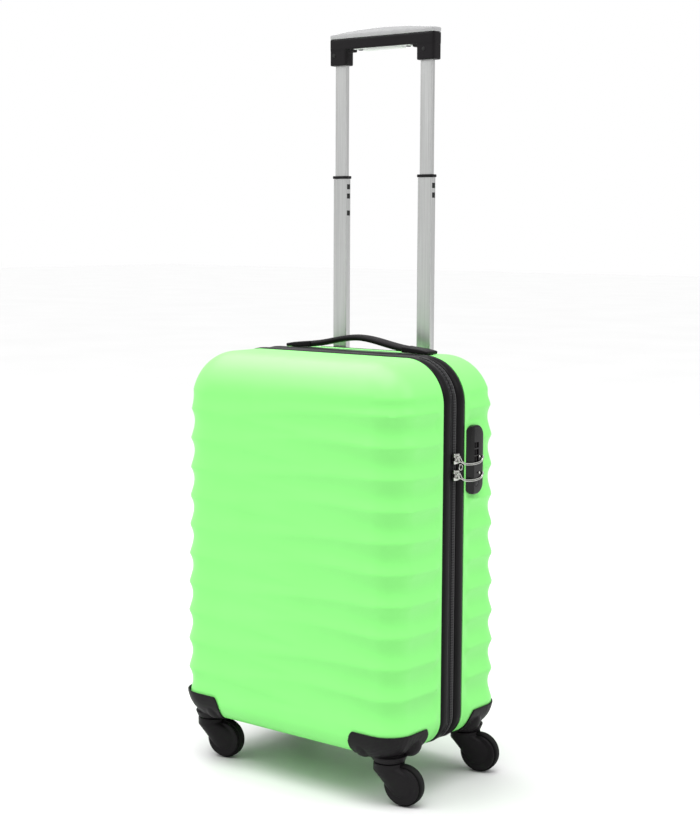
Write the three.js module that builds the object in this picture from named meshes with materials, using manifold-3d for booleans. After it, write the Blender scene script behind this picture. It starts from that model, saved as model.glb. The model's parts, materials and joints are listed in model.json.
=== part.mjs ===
// Hard-shell cabin trolley case: two half shells that open like a book on a zip, four swivel
// casters, a two-stage telescopic handle, a strap handle on top and a zip lock on the side.
// Millimetres, +Z up, +X to the lock side, -Y to the front. The design frame has its origin on the
// floor below the middle of the zip; the finished group is moved so that its origin is the middle of
// its own footprint.
import * as THREE from "three";
import { mergeVertices } from "three/addons/utils/BufferGeometryUtils.js";
import Module from "manifold-3d";

const wasm = await Module();
wasm.setup();

// ---- Driving dimensions ----

// Case body
const caseHalfWidth = 171.5;
const bodyHeight = 472;
const frontReach = 93.4; // front shell, from its rim to its face
const rearReach = 81.4; // rear shell, from its rim to its back
const shellWall = 2.5;
const topCorner = 55; // outline radii, seen from the front
const bottomCorner = 35;
const faceRoll = 40; // radius between a side and the face
const topRoll = 48; // radius between the top and the face
const bottomRoll = 25; // radius between the bottom and the face
const gap = 0.3; // between pieces that touch

// Zip frame
const frameWidth = 15.7;
const frameProud = 1.2;
const frameThickness = 6;
const tapeWidth = 6.1;
const tapeRecess = 0.6;
const tapeThickness = 2.4;

// Casters
const casterX = 143.5;
const frontCasterInset = 27.8; // swivel axis behind the front face
const rearCasterInset = 30.8; // swivel axis ahead of the back
const wheelRadius = 25;
const wheelHeadroom = 6; // from the top of a wheel to the body's bottom
const tyreWidth = 11;
const hubRadius = 17.5;
const axleRadius = 3;
const runningGap = 0.35;
const casterTrail = 20;
const restTrailAngle = THREE.MathUtils.degToRad(12.3);
const stemRadius = 19;
const stemGap = 0.5; // between a fork and its housing
const kingpinRadius = 5;
const kingpinLength = 3.6;
const cheekThickness = 3.2;
const cheekInset = 2.5; // cheek's edge inside the tyre's
const wheelSideGap = 0.8;
const wheelTopGap = 1;
const housingWall = 3;
const housingHeight = 37; // above the body's bottom
const housingDip = 3; // at the corner, between the two lobes
const housingLobe = 70; // how far a lobe runs along a face from the corner

// Telescopic handle
const tubeSpacing = 136;
const tubeInset = 21.3; // tube axis ahead of the back
const innerTubeWidth = 18.3;
const innerTubeDepth = 6.8;
const tubeWall = 1.1;
const slideClearance = 0.5; // between one tube and the next
const trayDepth = 39; // how far the tray's floor lies below the body's top
const trayWall = 2.6;
const trayHalfLength = 92;
const trayHalfDepth = 13.4;
const trayCorner = 6;
const trayRim = 1.6; // how far the tray stands over the shell
const handleBaseHeight = 11.2;
const handleBaseOverhang = 18; // past each tube's axis
const handleBaseHalfDepth = 11;
const middleTubeFoot = 9.2; // middle tube's bottom above the outer tube's, pushed down
const middleTubeHeld = 152.5; // length that stays in the outer tube, pulled out
const innerTubeFoot = 0.6;
const upperStroke = 140;
const collarHeight = 3.6;
const collarProud = 1.3;
const stopClearance = 0.5;
const innerTubeInGrip = 26;
const gripHalfSpan = 83.5;
const gripDepth = 17;
const gripCorner = 4; // corner radius, seen from above
const gripBarHeight = 13.5;
const gripSocketWall = 1.85;
const gripSocketHeight = 20; // below the bar
const gripArch = 7; // radius where a socket meets the bar
const gripCapHeight = 10.8;
const gripCapEnd = 5.6;
const gripButtonHalfLength = 31;
const gripButtonDepth = 10;
const gripButtonStroke = 3;
const gripButtonDepthInBar = 3.8;

// Strap handle on top
const strapHandleHalfLength = 114;
const strapHandleCap = 39;
const strapHandleWidth = 20;
const strapHandleOffset = 12; // strap centre behind the rear shell's rim
const strapHandleRise = 20.5;
const strapHandleThickness = 8;

// Lock and zip sliders
const lockDrop = 124.5; // lock's middle below the body's top
const lockLength = 85;
const lockWidth = 31.4;
const lockProud = 6.4;
const dialRadius = 4.2;
const dialHeight = 6.2;
const dialPitch = 8.6;
const dialFromTop = 33; // middle dial below the lock's top
const lockWindowRoom = 1; // round the dials, through the shell
const lockButtonRadius = 4.2;
const lockButtonFromBottom = 10;
const lockButtonStroke = 1.6;
const sliderAboveLock = 5; // upper slider above the lock's middle
const sliderSpacing = 20;
const sliderHeight = 13;
const sliderWidth = 11.2;
const pullLength = 52;
const pullWidth = 6.6;
const pullWire = 1.7;
const pullDrop = 7.5; // pull's middle line below the slider's

// Lining and packing
const liningThickness = 0.8;
const rearLiningRoll = 16;
const dividerThickness = 1.2;
const dividerSetBack = 2.5;
const packingStrapWidth = 25;
const packingStrapThickness = 1.5;
const buckle = { length: 46, height: 34, depth: 6 };

// ---- Places worked out from them ----

const bodyBottom = 2 * wheelRadius + wheelHeadroom;
const bodyTop = bodyBottom + bodyHeight;
const rim = tapeWidth + gap * 1.5 + frameWidth + gap; // shell rim from the zip's middle
const rearFace = rim + rearReach;
const tubeX = tubeSpacing / 2;
const tubeY = rearFace - tubeInset;
const tubeStep = 2 * (tubeWall + slideClearance);
const innerTube = { width: innerTubeWidth, depth: innerTubeDepth, radius: 1.6 };
const middleTube = { width: innerTubeWidth + tubeStep, depth: innerTubeDepth + tubeStep, radius: 2 };
const outerTube = {
  width: innerTubeWidth + 2 * tubeStep, depth: innerTubeDepth + 2 * tubeStep, radius: 2.6,
};
const trayFloor = bodyTop - trayDepth; // where the handle sinks to
const outerTubeBottom = bodyBottom + shellWall + gap + handleBaseHeight;
const middleTubeLength = trayFloor + stopClearance - gap - outerTubeBottom - middleTubeFoot;
const middleStroke = middleTubeLength - middleTubeHeld;
const gripRest = trayFloor + 2 * stopClearance + collarHeight + 1; // grip's bottom, pushed down
const innerTubeLength = gripRest + innerTubeInGrip - outerTubeBottom - innerTubeFoot;
const middleCollarBottom = trayFloor + stopClearance + middleStroke;
const gripBottom = gripRest + middleStroke + upperStroke;
const gripTop = gripBottom + gripSocketHeight + gripBarHeight;
const wheelSegments = 24;
const axleHeight = wheelRadius * Math.cos(Math.PI / wheelSegments); // a facet lies on the floor
const forkWidth = tyreWidth + 2 * (wheelSideGap + cheekThickness);
const forkTop = bodyBottom - housingWall - gap - stemGap;
const cheekRadius = wheelRadius - cheekInset;
const lockCentreZ = bodyTop - lockDrop;
const sliderUpperZ = lockCentreZ + sliderAboveLock;
const sliderLowerZ = sliderUpperZ - sliderSpacing;
const lockY = rim + gap + lockWidth / 2;
const lockFace = caseHalfWidth + gap + lockProud;
const hingeX = -(caseHalfWidth + housingWall + 2 * gap); // clear of the caster housings

// ---- Solids ----

function manifoldOf(geometry) {
  const bare = geometry.index ? geometry.toNonIndexed() : geometry.clone();
  bare.deleteAttribute("normal");
  bare.deleteAttribute("uv");
  const merged = mergeVertices(bare, 1e-4);
  return new wasm.Manifold(new wasm.Mesh({
    numProp: 3,
    vertProperties: merged.attributes.position.array,
    triVerts: new Uint32Array(merged.index.array),
  }));
}

function geometryOf(solid) {
  const mesh = solid.getMesh();
  const places = new Float32Array(mesh.numVert * 3);
  for (let i = 0; i < mesh.numVert; i++) {
    const at = i * mesh.numProp;
    places.set(mesh.vertProperties.subarray(at, at + 3), i * 3);
  }
  const indexed = new THREE.BufferGeometry();
  indexed.setAttribute("position", new THREE.BufferAttribute(places, 3));
  indexed.setIndex(new THREE.BufferAttribute(mesh.triVerts, 1));
  const geometry = indexed.toNonIndexed();
  geometry.computeVertexNormals();
  return geometry;
}

function cut(base, ...tools) {
  return geometryOf(tools.reduce((solid, tool) => solid.subtract(manifoldOf(tool)), manifoldOf(base)));
}

function join(base, ...others) {
  return geometryOf(others.reduce((solid, other) => solid.add(manifoldOf(other)), manifoldOf(base)));
}

function common(base, ...others) {
  return geometryOf(others.reduce((solid, other) => solid.intersect(manifoldOf(other)), manifoldOf(base)));
}

function block(low, high) {
  const size = high.map((value, axis) => value - low[axis]);
  const geometry = new THREE.BoxGeometry(...size);
  return geometry.translate(...high.map((value, axis) => (value + low[axis]) / 2));
}

// An outline drawn in X and Z, from one Y to another.
function alongY(shape, from, to, curveSegments = 6) {
  const geometry = new THREE.ExtrudeGeometry(shape, {
    depth: to - from, bevelEnabled: false, curveSegments,
  });
  return geometry.rotateX(Math.PI / 2).translate(0, to, 0);
}

// An outline drawn in Y and Z, from one X to another.
function alongX(shape, from, to, curveSegments = 6) {
  const geometry = new THREE.ExtrudeGeometry(shape, {
    depth: to - from, bevelEnabled: false, curveSegments,
  });
  const turn = new THREE.Matrix4().makeBasis(
    new THREE.Vector3(0, 1, 0), new THREE.Vector3(0, 0, 1), new THREE.Vector3(1, 0, 0));
  return geometry.applyMatrix4(turn).translate(from, 0, 0);
}

// An outline drawn in X and Y, from one Z to another.
function alongZ(shape, from, to, curveSegments = 6) {
  const geometry = new THREE.ExtrudeGeometry(shape, {
    depth: to - from, bevelEnabled: false, curveSegments,
  });
  return geometry.translate(0, 0, from);
}

function cylinderZ(radius, from, to, segments = 24) {
  const geometry = new THREE.CylinderGeometry(radius, radius, to - from, segments);
  return geometry.rotateX(Math.PI / 2).translate(0, 0, (from + to) / 2);
}

function cylinderY(radius, length, segments = 24) {
  return new THREE.CylinderGeometry(radius, radius, length, segments).rotateY(Math.PI / segments);
}

function roundedBox(u, v, width, height, radius) {
  const shape = new THREE.Shape();
  const left = u - width / 2;
  const right = u + width / 2;
  const low = v - height / 2;
  const high = v + height / 2;
  shape.absarc(right - radius, low + radius, radius, -Math.PI / 2, 0);
  shape.absarc(right - radius, high - radius, radius, 0, Math.PI / 2);
  shape.absarc(left + radius, high - radius, radius, Math.PI / 2, Math.PI);
  shape.absarc(left + radius, low + radius, radius, Math.PI, Math.PI * 1.5);
  shape.closePath();
  return shape;
}

// ---- The case's outline and its half shells ----

const cornerSteps = 3; // half the facets in each corner of the outline
const caseRolls = { face: faceRoll, top: topRoll, bottom: bottomRoll };

// How far a wall of this roll radius has turned in at a depth behind the rim.
function rollInset(depth, reach, radius) {
  const past = Math.min(Math.max(depth - (reach - radius), 0), radius);
  return radius - Math.sqrt(radius * radius - past * past);
}

// The outline seen from the front, grown by an offset and shrunk by what the walls have turned in.
function caseOutline(grow, sideInset = 0, topInset = 0, bottomInset = 0) {
  const half = caseHalfWidth + grow - sideInset;
  const low = bodyBottom - grow + bottomInset;
  const high = bodyTop + grow - topInset;
  const least = 10;
  const upper = Math.max(topCorner + grow - Math.min(sideInset, topInset), least);
  const lower = Math.max(bottomCorner + grow - Math.min(sideInset, bottomInset), least);
  const shape = new THREE.Shape();
  shape.absarc(half - lower, low + lower, lower, -Math.PI / 2, 0);
  shape.absarc(half - upper, high - upper, upper, 0, Math.PI / 2);
  shape.absarc(-half + upper, high - upper, upper, Math.PI / 2, Math.PI);
  shape.absarc(-half + lower, low + lower, lower, Math.PI, Math.PI * 1.5);
  return shape;
}

// A closed solid through a list of outlines, each at its own Y.
function loft(sections) {
  const rings = sections.map(({ shape, y }) => {
    const points = shape.getPoints(cornerSteps);
    return points.map((point) => new THREE.Vector3(point.x, y, point.y));
  });
  const count = rings[0].length;
  const places = rings.flat().flatMap((point) => point.toArray());
  const faces = [];
  for (let ring = 0; ring + 1 < rings.length; ring++) {
    for (let i = 0; i < count; i++) {
      const here = ring * count + i;
      const next = ring * count + ((i + 1) % count);
      faces.push([here, next, next + count], [here, next + count, here + count]);
    }
  }
  const last = (rings.length - 1) * count;
  for (let i = 1; i + 1 < count; i++) {
    faces.push([0, i + 1, i], [last, last + i, last + i + 1]);
  }
  // The outlines run anticlockwise seen from the front, so a loft towards the front is turned round.
  const towardsFront = rings[0][0].y > rings.at(-1)[0].y;
  const index = faces.flatMap((face) => (towardsFront ? face : [...face].reverse()));
  const geometry = new THREE.BufferGeometry();
  geometry.setAttribute("position", new THREE.Float32BufferAttribute(places, 3));
  geometry.setIndex(index);
  return geometry.toNonIndexed();
}

// The space inside one half's outer surface, grown by an offset. direction is -1 for the front.
function halfEnvelope(direction, reach, grow, start = rim, rolls = caseRolls) {
  const depth = reach + grow;
  const deepest = Math.max(rolls.face, rolls.top) + grow;
  const turns = 5;
  const depths = [start - rim];
  for (let step = 0; step <= turns; step++) {
    depths.push(depth - deepest + deepest * Math.sin((step / turns) * (Math.PI / 2)));
  }
  return loft(depths.map((at) => ({
    y: direction * (rim + at),
    shape: caseOutline(
      grow,
      rollInset(at, depth, rolls.face + grow),
      rollInset(at, depth, rolls.top + grow),
      rollInset(at, depth, rolls.bottom + grow),
    ),
  })));
}

function halfShell(direction, reach) {
  return cut(
    halfEnvelope(direction, reach, 0),
    halfEnvelope(direction, reach, -shellWall, rim - 1),
  );
}

// A band that runs right round the case.
function ringAround(outside, thickness, from, to) {
  const shape = new THREE.Shape(caseOutline(outside).getPoints(cornerSteps));
  shape.holes.push(new THREE.Path(caseOutline(outside - thickness).getPoints(cornerSteps)));
  return alongY(shape, from, to);
}

// ---- Materials ----

const finishes = {
  shell: { color: 0x9bfe91, roughness: 0.5, metalness: 0 },
  black: { color: 0x282628, roughness: 0.45, metalness: 0 },
  tyre: { color: 0x1d1c1d, roughness: 0.7, metalness: 0 },
  aluminium: { color: 0xc9cbcd, roughness: 0.35, metalness: 1 },
  silver: { color: 0xc8c8c8, roughness: 0.35, metalness: 0.2 },
  chrome: { color: 0xe6e6e0, roughness: 0.15, metalness: 1 },
  tape: { color: 0x1c1b1c, roughness: 0.9, metalness: 0 },
  lining: { color: 0x55575a, roughness: 0.9, metalness: 0 },
};

const model = new THREE.Group();

function piece(name, finish, geometry, parent = model) {
  const mesh = new THREE.Mesh(geometry, new THREE.MeshStandardMaterial(finishes[finish]));
  mesh.name = name;
  parent.add(mesh);
  return mesh;
}

// ---- Telescopic handle's tray, cut into the rear shell ----

function tubeOutline(tube, x, grow = 0) {
  return roundedBox(x, tubeY, tube.width + 2 * grow, tube.depth + 2 * grow, tube.radius);
}

function traySpace(grow) {
  return roundedBox(
    0, tubeY, 2 * (trayHalfLength + grow), 2 * (trayHalfDepth + grow), trayCorner + grow);
}

function handleTray() {
  const body = common(
    alongZ(traySpace(trayWall), trayFloor - trayWall, bodyTop + 10),
    halfEnvelope(1, rearReach, trayRim),
  );
  const hollow = alongZ(traySpace(0), trayFloor, bodyTop + 20);
  const passages = [-tubeX, tubeX].map((x) =>
    alongZ(tubeOutline(middleTube, x, gap), trayFloor - 2 * trayWall, trayFloor + 1, 3));
  return cut(body, hollow, ...passages);
}

// ---- Case body ----

const dialsMiddleZ = lockCentreZ + lockLength / 2 - dialFromTop;

function lockWindow() {
  const halfHeight = dialPitch + dialHeight / 2 + lockWindowRoom;
  const halfWidth = dialRadius + lockWindowRoom;
  return block(
    [caseHalfWidth - 4 * shellWall, lockY - halfWidth, dialsMiddleZ - halfHeight],
    [caseHalfWidth + 4 * shellWall, lockY + halfWidth, dialsMiddleZ + halfHeight],
  );
}

piece("front_shell", "shell", halfShell(-1, frontReach));
piece("rear_shell", "shell", cut(
  halfShell(1, rearReach),
  alongZ(traySpace(trayWall + gap), trayFloor - trayWall - gap, bodyTop + 20),
  lockWindow(),
));

const frameFrom = rim - gap - frameWidth;
const tapeFrom = gap * 0.5;
for (const [side, direction] of [["front", -1], ["rear", 1]]) {
  const frameEnds = [direction * frameFrom, direction * (frameFrom + frameWidth)].sort((a, b) => a - b);
  const tapeEnds = [direction * tapeFrom, direction * (tapeFrom + tapeWidth)].sort((a, b) => a - b);
  piece(`${side}_frame`, "black", ringAround(frameProud, frameThickness, ...frameEnds));
  piece(`zip_tape_${side}`, "tape", ringAround(-tapeRecess, tapeThickness, ...tapeEnds));
  const stripX = -(caseHalfWidth + frameProud - frameThickness - gap);
  const stripEnds = [direction * gap, direction * (frameFrom + frameWidth - 2)].sort((a, b) => a - b);
  piece(`hinge_strip_${side}`, "tape", block(
    [stripX, stripEnds[0], bodyBottom + topCorner],
    [stripX + liningThickness, stripEnds[1], bodyTop - topCorner],
  ));
}

// ---- Linings, divider and packing straps ----

const liningInset = shellWall + frameThickness - frameProud;

function liningCup(direction, reach, rolls) {
  return cut(
    halfEnvelope(direction, reach, -liningInset, rim, rolls),
    halfEnvelope(direction, reach, -liningInset - liningThickness, rim - 1, rolls),
  );
}

piece("front_lining", "lining", liningCup(-1, frontReach, caseRolls));
const trayFront = tubeY - trayHalfDepth - trayWall;
const rearLiningReach = trayFront - 2 * gap - rim;
piece("rear_lining", "lining", liningCup(1, rearLiningReach, {
  face: rearLiningRoll, top: rearLiningRoll, bottom: rearLiningRoll,
}));

// The divider hangs just inside the front half's rim and closes it.
const dividerFront = -(rim + dividerSetBack + dividerThickness);
piece("divider_panel", "lining", alongY(
  caseOutline(-liningInset - liningThickness - gap), dividerFront, dividerFront + dividerThickness,
  cornerSteps));

const strapZ = bodyBottom + bodyHeight / 2;
const strapY = rim + 4;
const strapEnd = caseHalfWidth - liningInset - liningThickness - gap;
for (const [name, direction] of [["left", -1], ["right", 1]]) {
  const ends = [direction * (buckle.length / 2 + gap), direction * strapEnd].sort((a, b) => a - b);
  piece(`packing_strap_${name}`, "tape", block(
    [ends[0], strapY, strapZ - packingStrapWidth / 2],
    [ends[1], strapY + packingStrapThickness, strapZ + packingStrapWidth / 2],
  ));
}
piece("strap_buckle", "black", alongY(
  roundedBox(0, strapZ, buckle.length, buckle.height, 6),
  strapY - buckle.depth / 2, strapY + buckle.depth / 2, 3));

// ---- Lock ----

const dialAxisX = lockFace - 0.2 - dialRadius;
const lockButtonZ = lockCentreZ - lockLength / 2 + lockButtonFromBottom + lockButtonRadius;

function dialAt(grow, z, height) {
  return cylinderZ(dialRadius + grow, z - height / 2, z + height / 2, 16).translate(dialAxisX, lockY, 0);
}

function lockBody() {
  const capsule = alongX(
    roundedBox(lockY, lockCentreZ, lockWidth, lockLength, lockWidth / 2 - 1),
    caseHalfWidth + gap, lockFace, 6);
  const windows = [-1, 0, 1].map((step) =>
    dialAt(gap, dialsMiddleZ + step * dialPitch, dialHeight + 2 * gap));
  const buttonHole = new THREE.CylinderGeometry(
    lockButtonRadius + gap, lockButtonRadius + gap, lockProud, 16);
  buttonHole.rotateZ(Math.PI / 2).translate(lockFace + 2 - lockProud / 2, lockY, lockButtonZ);
  return cut(capsule, ...windows, buttonHole);
}

piece("lock_body", "black", lockBody());
for (const step of [-1, 0, 1]) {
  piece(`lock_dial_${step + 2}`, "black", dialAt(0, dialsMiddleZ - step * dialPitch, dialHeight));
}
const lockButtonLength = lockProud - 2 - gap - lockButtonStroke + 0.2;
const lockButton = new THREE.CylinderGeometry(lockButtonRadius, lockButtonRadius, lockButtonLength, 16);
lockButton.rotateZ(Math.PI / 2).translate(lockFace - lockButtonLength / 2, lockY, lockButtonZ);
piece("lock_button", "black", lockButton);

// ---- Zip sliders and their pulls ----

const sliderBase = caseHalfWidth - tapeRecess + gap;
const pullX = lockFace + 0.4 + pullWire / 2; // pulls lie just over the lock's face
const sliderUnderPull = 2.4;
const ear = { thickness: 1.4, halfWidth: 2.2, root: 3, reach: 1.4 };
const tongueHalf = 2.2;
const pullEye = 1.6; // tongue's back end, behind the hinge
const tongueReach = 4.5;
const bend = { from: 6, lowFrom: 8, to: 10, end: 13 }; // where the tongue steps down to the loop
const loopFrom = 11;
const loopHoleFrom = 17;

function sliderBody(z) {
  const base = block(
    [sliderBase, -sliderWidth / 2, z - sliderHeight / 2],
    [pullX - sliderUnderPull, sliderWidth / 2, z + sliderHeight / 2],
  );
  const ears = [-1, 1].map((side) => {
    const middle = z + side * (tongueHalf + gap + ear.thickness / 2);
    return block(
      [pullX - ear.root, -ear.halfWidth, middle - ear.thickness / 2],
      [pullX + ear.reach, ear.halfWidth, middle + ear.thickness / 2],
    );
  });
  return join(base, ...ears);
}

function zipPull(z) {
  const low = z - pullDrop;
  const tongue = new THREE.Shape();
  tongue.moveTo(-pullEye, z - tongueHalf);
  tongue.lineTo(tongueReach, z - tongueHalf);
  tongue.lineTo(bend.lowFrom, low - pullWidth / 2);
  tongue.lineTo(bend.end, low - pullWidth / 2);
  tongue.lineTo(bend.end, low + pullWidth / 2);
  tongue.lineTo(bend.to, low + pullWidth / 2);
  tongue.lineTo(bend.from, z + tongueHalf);
  tongue.lineTo(-pullEye, z + tongueHalf);
  tongue.closePath();
  const back = pullLength - pullWidth / 2;
  const loopMiddle = (loopFrom + back) / 2 + pullWidth / 4;
  const loopLength = back - loopFrom + pullWidth / 2;
  const loop = roundedBox(loopMiddle, low, loopLength, pullWidth, pullWidth / 2 - 0.1);
  const holeLength = back - loopHoleFrom + pullWidth / 2;
  const holeWidth = pullWidth - 2 * pullWire;
  const hole = roundedBox(loopMiddle + 1, low, holeLength, holeWidth, holeWidth / 2 - 0.1);
  return cut(
    join(
      alongX(tongue, pullX - pullWire / 2, pullX + pullWire / 2),
      alongX(loop, pullX - pullWire / 2, pullX + pullWire / 2, 4),
    ),
    alongX(hole, pullX - pullWire, pullX + pullWire, 3),
  );
}

for (const [name, z] of [["upper", sliderUpperZ], ["lower", sliderLowerZ]]) {
  piece(`zip_slider_${name}`, "chrome", sliderBody(z));
  piece(`zip_pull_${name}`, "chrome", zipPull(z));
}

// ---- Casters ----

const past = 24; // cutting shapes run this far past what they cut
const lobeRound = 14;
const collarOverStem = 0.6;

// One corner's cap: a skin over the shell, cut to two lobes that meet at the corner.
function casterHousing(sideX, direction, reach, inset) {
  const face = direction * (rim + reach);
  const axisY = face - direction * inset;
  const skin = cut(
    halfEnvelope(direction, reach, housingWall + gap, rim + gap),
    halfEnvelope(direction, reach, gap, rim - 1),
  );
  const low = bodyBottom - past;
  const high = bodyBottom + housingHeight;
  const dip = high - housingDip;
  const lobe = (cornerAt, inwards) => {
    const outer = cornerAt - inwards * past;
    const end = cornerAt + inwards * housingLobe;
    const shape = new THREE.Shape();
    shape.moveTo(outer, low);
    shape.lineTo(end - inwards * lobeRound / 2, low);
    shape.quadraticCurveTo(end, low + lobeRound, end, high - lobeRound);
    shape.quadraticCurveTo(end, high, end - inwards * lobeRound, high);
    shape.quadraticCurveTo(cornerAt + inwards * housingLobe / 3, dip, outer, dip);
    shape.closePath();
    return shape;
  };
  const cornerX = sideX * caseHalfWidth;
  const spanY = [face - past, face + past, axisY - direction * housingLobe].sort((a, b) => a - b);
  const frontal = alongY(lobe(cornerX, -sideX), spanY[0], spanY[2], 4);
  const spanX = [cornerX + sideX * past, cornerX - sideX * 1.5 * housingLobe].sort((a, b) => a - b);
  const lateral = alongX(lobe(face, -direction), ...spanX, 4);
  const boss = cut(
    cylinderZ(stemRadius + collarOverStem, forkTop + gap, bodyBottom + shellWall * 5)
      .translate(sideX * casterX, axisY, 0),
    halfEnvelope(direction, reach, gap, rim - 1),
  );
  const bore = cylinderZ(kingpinRadius + runningGap, forkTop - 1, forkTop + kingpinLength + gap)
    .translate(sideX * casterX, axisY, 0);
  return cut(join(common(skin, frontal, lateral), boss), bore);
}

const stemHeight = 7; // straight part of a fork's stem
const stemRim = 1; // its top edge stands this far below the stem's top

// Two cheeks whose outline runs down from the stem and round the wheel's hub.
function forkGeometry() {
  const reach = Math.hypot(casterTrail + stemRadius, forkTop - stemHeight - axleHeight);
  const bearing = Math.atan2(forkTop - stemHeight - axleHeight, -(casterTrail + stemRadius));
  const touch = bearing + Math.acos(cheekRadius / reach);
  const cheek = new THREE.Shape();
  cheek.moveTo(stemRadius, forkTop - stemRim);
  cheek.lineTo(-stemRadius, forkTop - stemRim);
  cheek.lineTo(-stemRadius, forkTop - stemHeight);
  cheek.absarc(casterTrail, axleHeight, cheekRadius, touch, Math.PI * 2.5);
  cheek.lineTo(stemRadius, forkTop - stemHeight + stemRim);
  cheek.closePath();
  const stem = cylinderZ(stemRadius, forkTop - 1.5 * stemHeight, forkTop, 20);
  const kingpin = cylinderZ(kingpinRadius, forkTop - 2, forkTop + kingpinLength, 12);
  const wheelSpace = cylinderY(wheelRadius + wheelTopGap, tyreWidth + 2 * wheelSideGap, 28)
    .translate(casterTrail, 0, axleHeight);
  const axleHole = cylinderY(axleRadius + gap, forkWidth + 2, 12).translate(casterTrail, 0, axleHeight);
  return cut(join(alongY(cheek, -forkWidth / 2, forkWidth / 2, 8), stem, kingpin), wheelSpace, axleHole);
}

// A ring of revolution about the axle.
function wheelRing(innerRadius, outerRadius, width, round) {
  const half = width / 2;
  const profile = [
    [innerRadius, -half], [outerRadius - round, -half], [outerRadius, -half + round],
    [outerRadius, half - round], [outerRadius - round, half], [innerRadius, half], [innerRadius, -half],
  ];
  const points = profile.map(([radius, along]) => new THREE.Vector2(radius, along));
  return new THREE.LatheGeometry(points, wheelSegments).rotateY(Math.PI / wheelSegments);
}

const corners = [
  ["front_left", -1, -1], ["front_right", 1, -1], ["rear_left", -1, 1], ["rear_right", 1, 1],
];
for (const [name, sideX, direction] of corners) {
  const reach = direction < 0 ? frontReach : rearReach;
  const inset = direction < 0 ? frontCasterInset : rearCasterInset;
  piece(`caster_housing_${name}`, "black", casterHousing(sideX, direction, reach, inset));
  const caster = new THREE.Group();
  caster.position.set(sideX * casterX, direction * (rim + reach - inset), 0);
  caster.rotation.z = restTrailAngle;
  model.add(caster);
  piece(`caster_fork_${name}`, "black", forkGeometry(), caster);
  const wheel = new THREE.Group();
  wheel.position.set(casterTrail, 0, axleHeight);
  caster.add(wheel);
  piece(`wheel_tyre_${name}`, "tyre", wheelRing(hubRadius + gap, wheelRadius, tyreWidth, 1.6), wheel);
  piece(`wheel_hub_${name}`, "black", wheelRing(axleRadius + gap, hubRadius, tyreWidth - 0.8, 0.8), wheel);
  piece(`wheel_axle_${name}`, "chrome", cylinderY(axleRadius, forkWidth - 0.6, 12), wheel);
}

// ---- Telescopic handle ----

function tube(section, x, from, to) {
  const outline = tubeOutline(section, x);
  outline.holes.push(tubeOutline({ ...section, radius: section.radius - tubeWall + 0.4 }, x, -tubeWall));
  return alongZ(outline, from, to, 2);
}

piece("handle_tray", "black", handleTray());
const outerTubeTop = trayFloor - trayWall - gap;
const insideRear = halfEnvelope(1, rearReach, -shellWall - gap);
piece("handle_base", "black", common(insideRear, block(
  [-tubeX - handleBaseOverhang, tubeY - handleBaseHalfDepth, bodyBottom],
  [tubeX + handleBaseOverhang, tubeY + handleBaseHalfDepth, outerTubeBottom - gap],
)));

function channelCover() {
  const front = tubeY - outerTube.depth / 2 - 2.2;
  const half = tubeX + outerTube.width / 2 + 3;
  const low = outerTubeBottom + 5;
  const high = outerTubeTop - 6;
  return cut(
    common(insideRear, block([-half, front - 1.5, low], [half, rearFace, high])),
    block([-half + 1.5, front, low - 1], [half - 1.5, rearFace, high + 1]),
  );
}
piece("handle_cover", "lining", channelCover());

for (const [name, side] of [["left", -1], ["right", 1]]) {
  const x = side * tubeX;
  piece(`outer_tube_${name}`, "aluminium", tube(outerTube, x, outerTubeBottom, outerTubeTop));
  const middleTop = middleCollarBottom - gap;
  piece(`middle_tube_${name}`, "aluminium", tube(middleTube, x, middleTop - middleTubeLength, middleTop));
  const collar = tubeOutline(middleTube, x, collarProud);
  collar.holes.push(tubeOutline(innerTube, x, gap));
  piece(`middle_collar_${name}`, "black",
    alongZ(collar, middleCollarBottom, middleCollarBottom + collarHeight, 2));
  const innerTop = gripBottom + innerTubeInGrip;
  piece(`inner_tube_${name}`, "aluminium", tube(innerTube, x, innerTop - innerTubeLength, innerTop));
}

function gripBody() {
  const barBottom = gripTop - gripBarHeight;
  const socketIn = tubeX - innerTubeWidth / 2 - gripSocketWall;
  const socketOut = tubeX + innerTubeWidth / 2 + gripSocketWall;
  const shape = new THREE.Shape();
  shape.moveTo(-gripHalfSpan, gripTop);
  shape.lineTo(-socketOut, gripBottom);
  shape.lineTo(-socketIn, gripBottom);
  shape.lineTo(-socketIn, barBottom - gripArch);
  shape.quadraticCurveTo(-socketIn, barBottom, -socketIn + gripArch, barBottom);
  shape.lineTo(socketIn - gripArch, barBottom);
  shape.quadraticCurveTo(socketIn, barBottom, socketIn, barBottom - gripArch);
  shape.lineTo(socketIn, gripBottom);
  shape.lineTo(socketOut, gripBottom);
  shape.lineTo(gripHalfSpan, gripTop);
  shape.closePath();
  const plan = roundedBox(0, tubeY, 2 * gripHalfSpan, gripDepth, gripCorner);
  const pockets = [-tubeX, tubeX].map((x) =>
    alongZ(tubeOutline(innerTube, x, gap), gripBottom - 1, gripBottom + innerTubeInGrip + gap, 2));
  const buttonPocketTop = barBottom + gripButtonDepthInBar + gripButtonStroke + gap;
  const buttonPocket = block(
    [-gripButtonHalfLength - gap, tubeY - gripButtonDepth / 2 - gap, barBottom - 1],
    [gripButtonHalfLength + gap, tubeY + gripButtonDepth / 2 + gap, buttonPocketTop],
  );
  return cut(
    common(
      alongY(shape, tubeY - gripDepth / 2, tubeY + gripDepth / 2, 5),
      alongZ(plan, gripBottom - 5, gripTop + 5, 5),
    ),
    ...pockets, buttonPocket,
  );
}
piece("grip_body", "black", gripBody());

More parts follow.
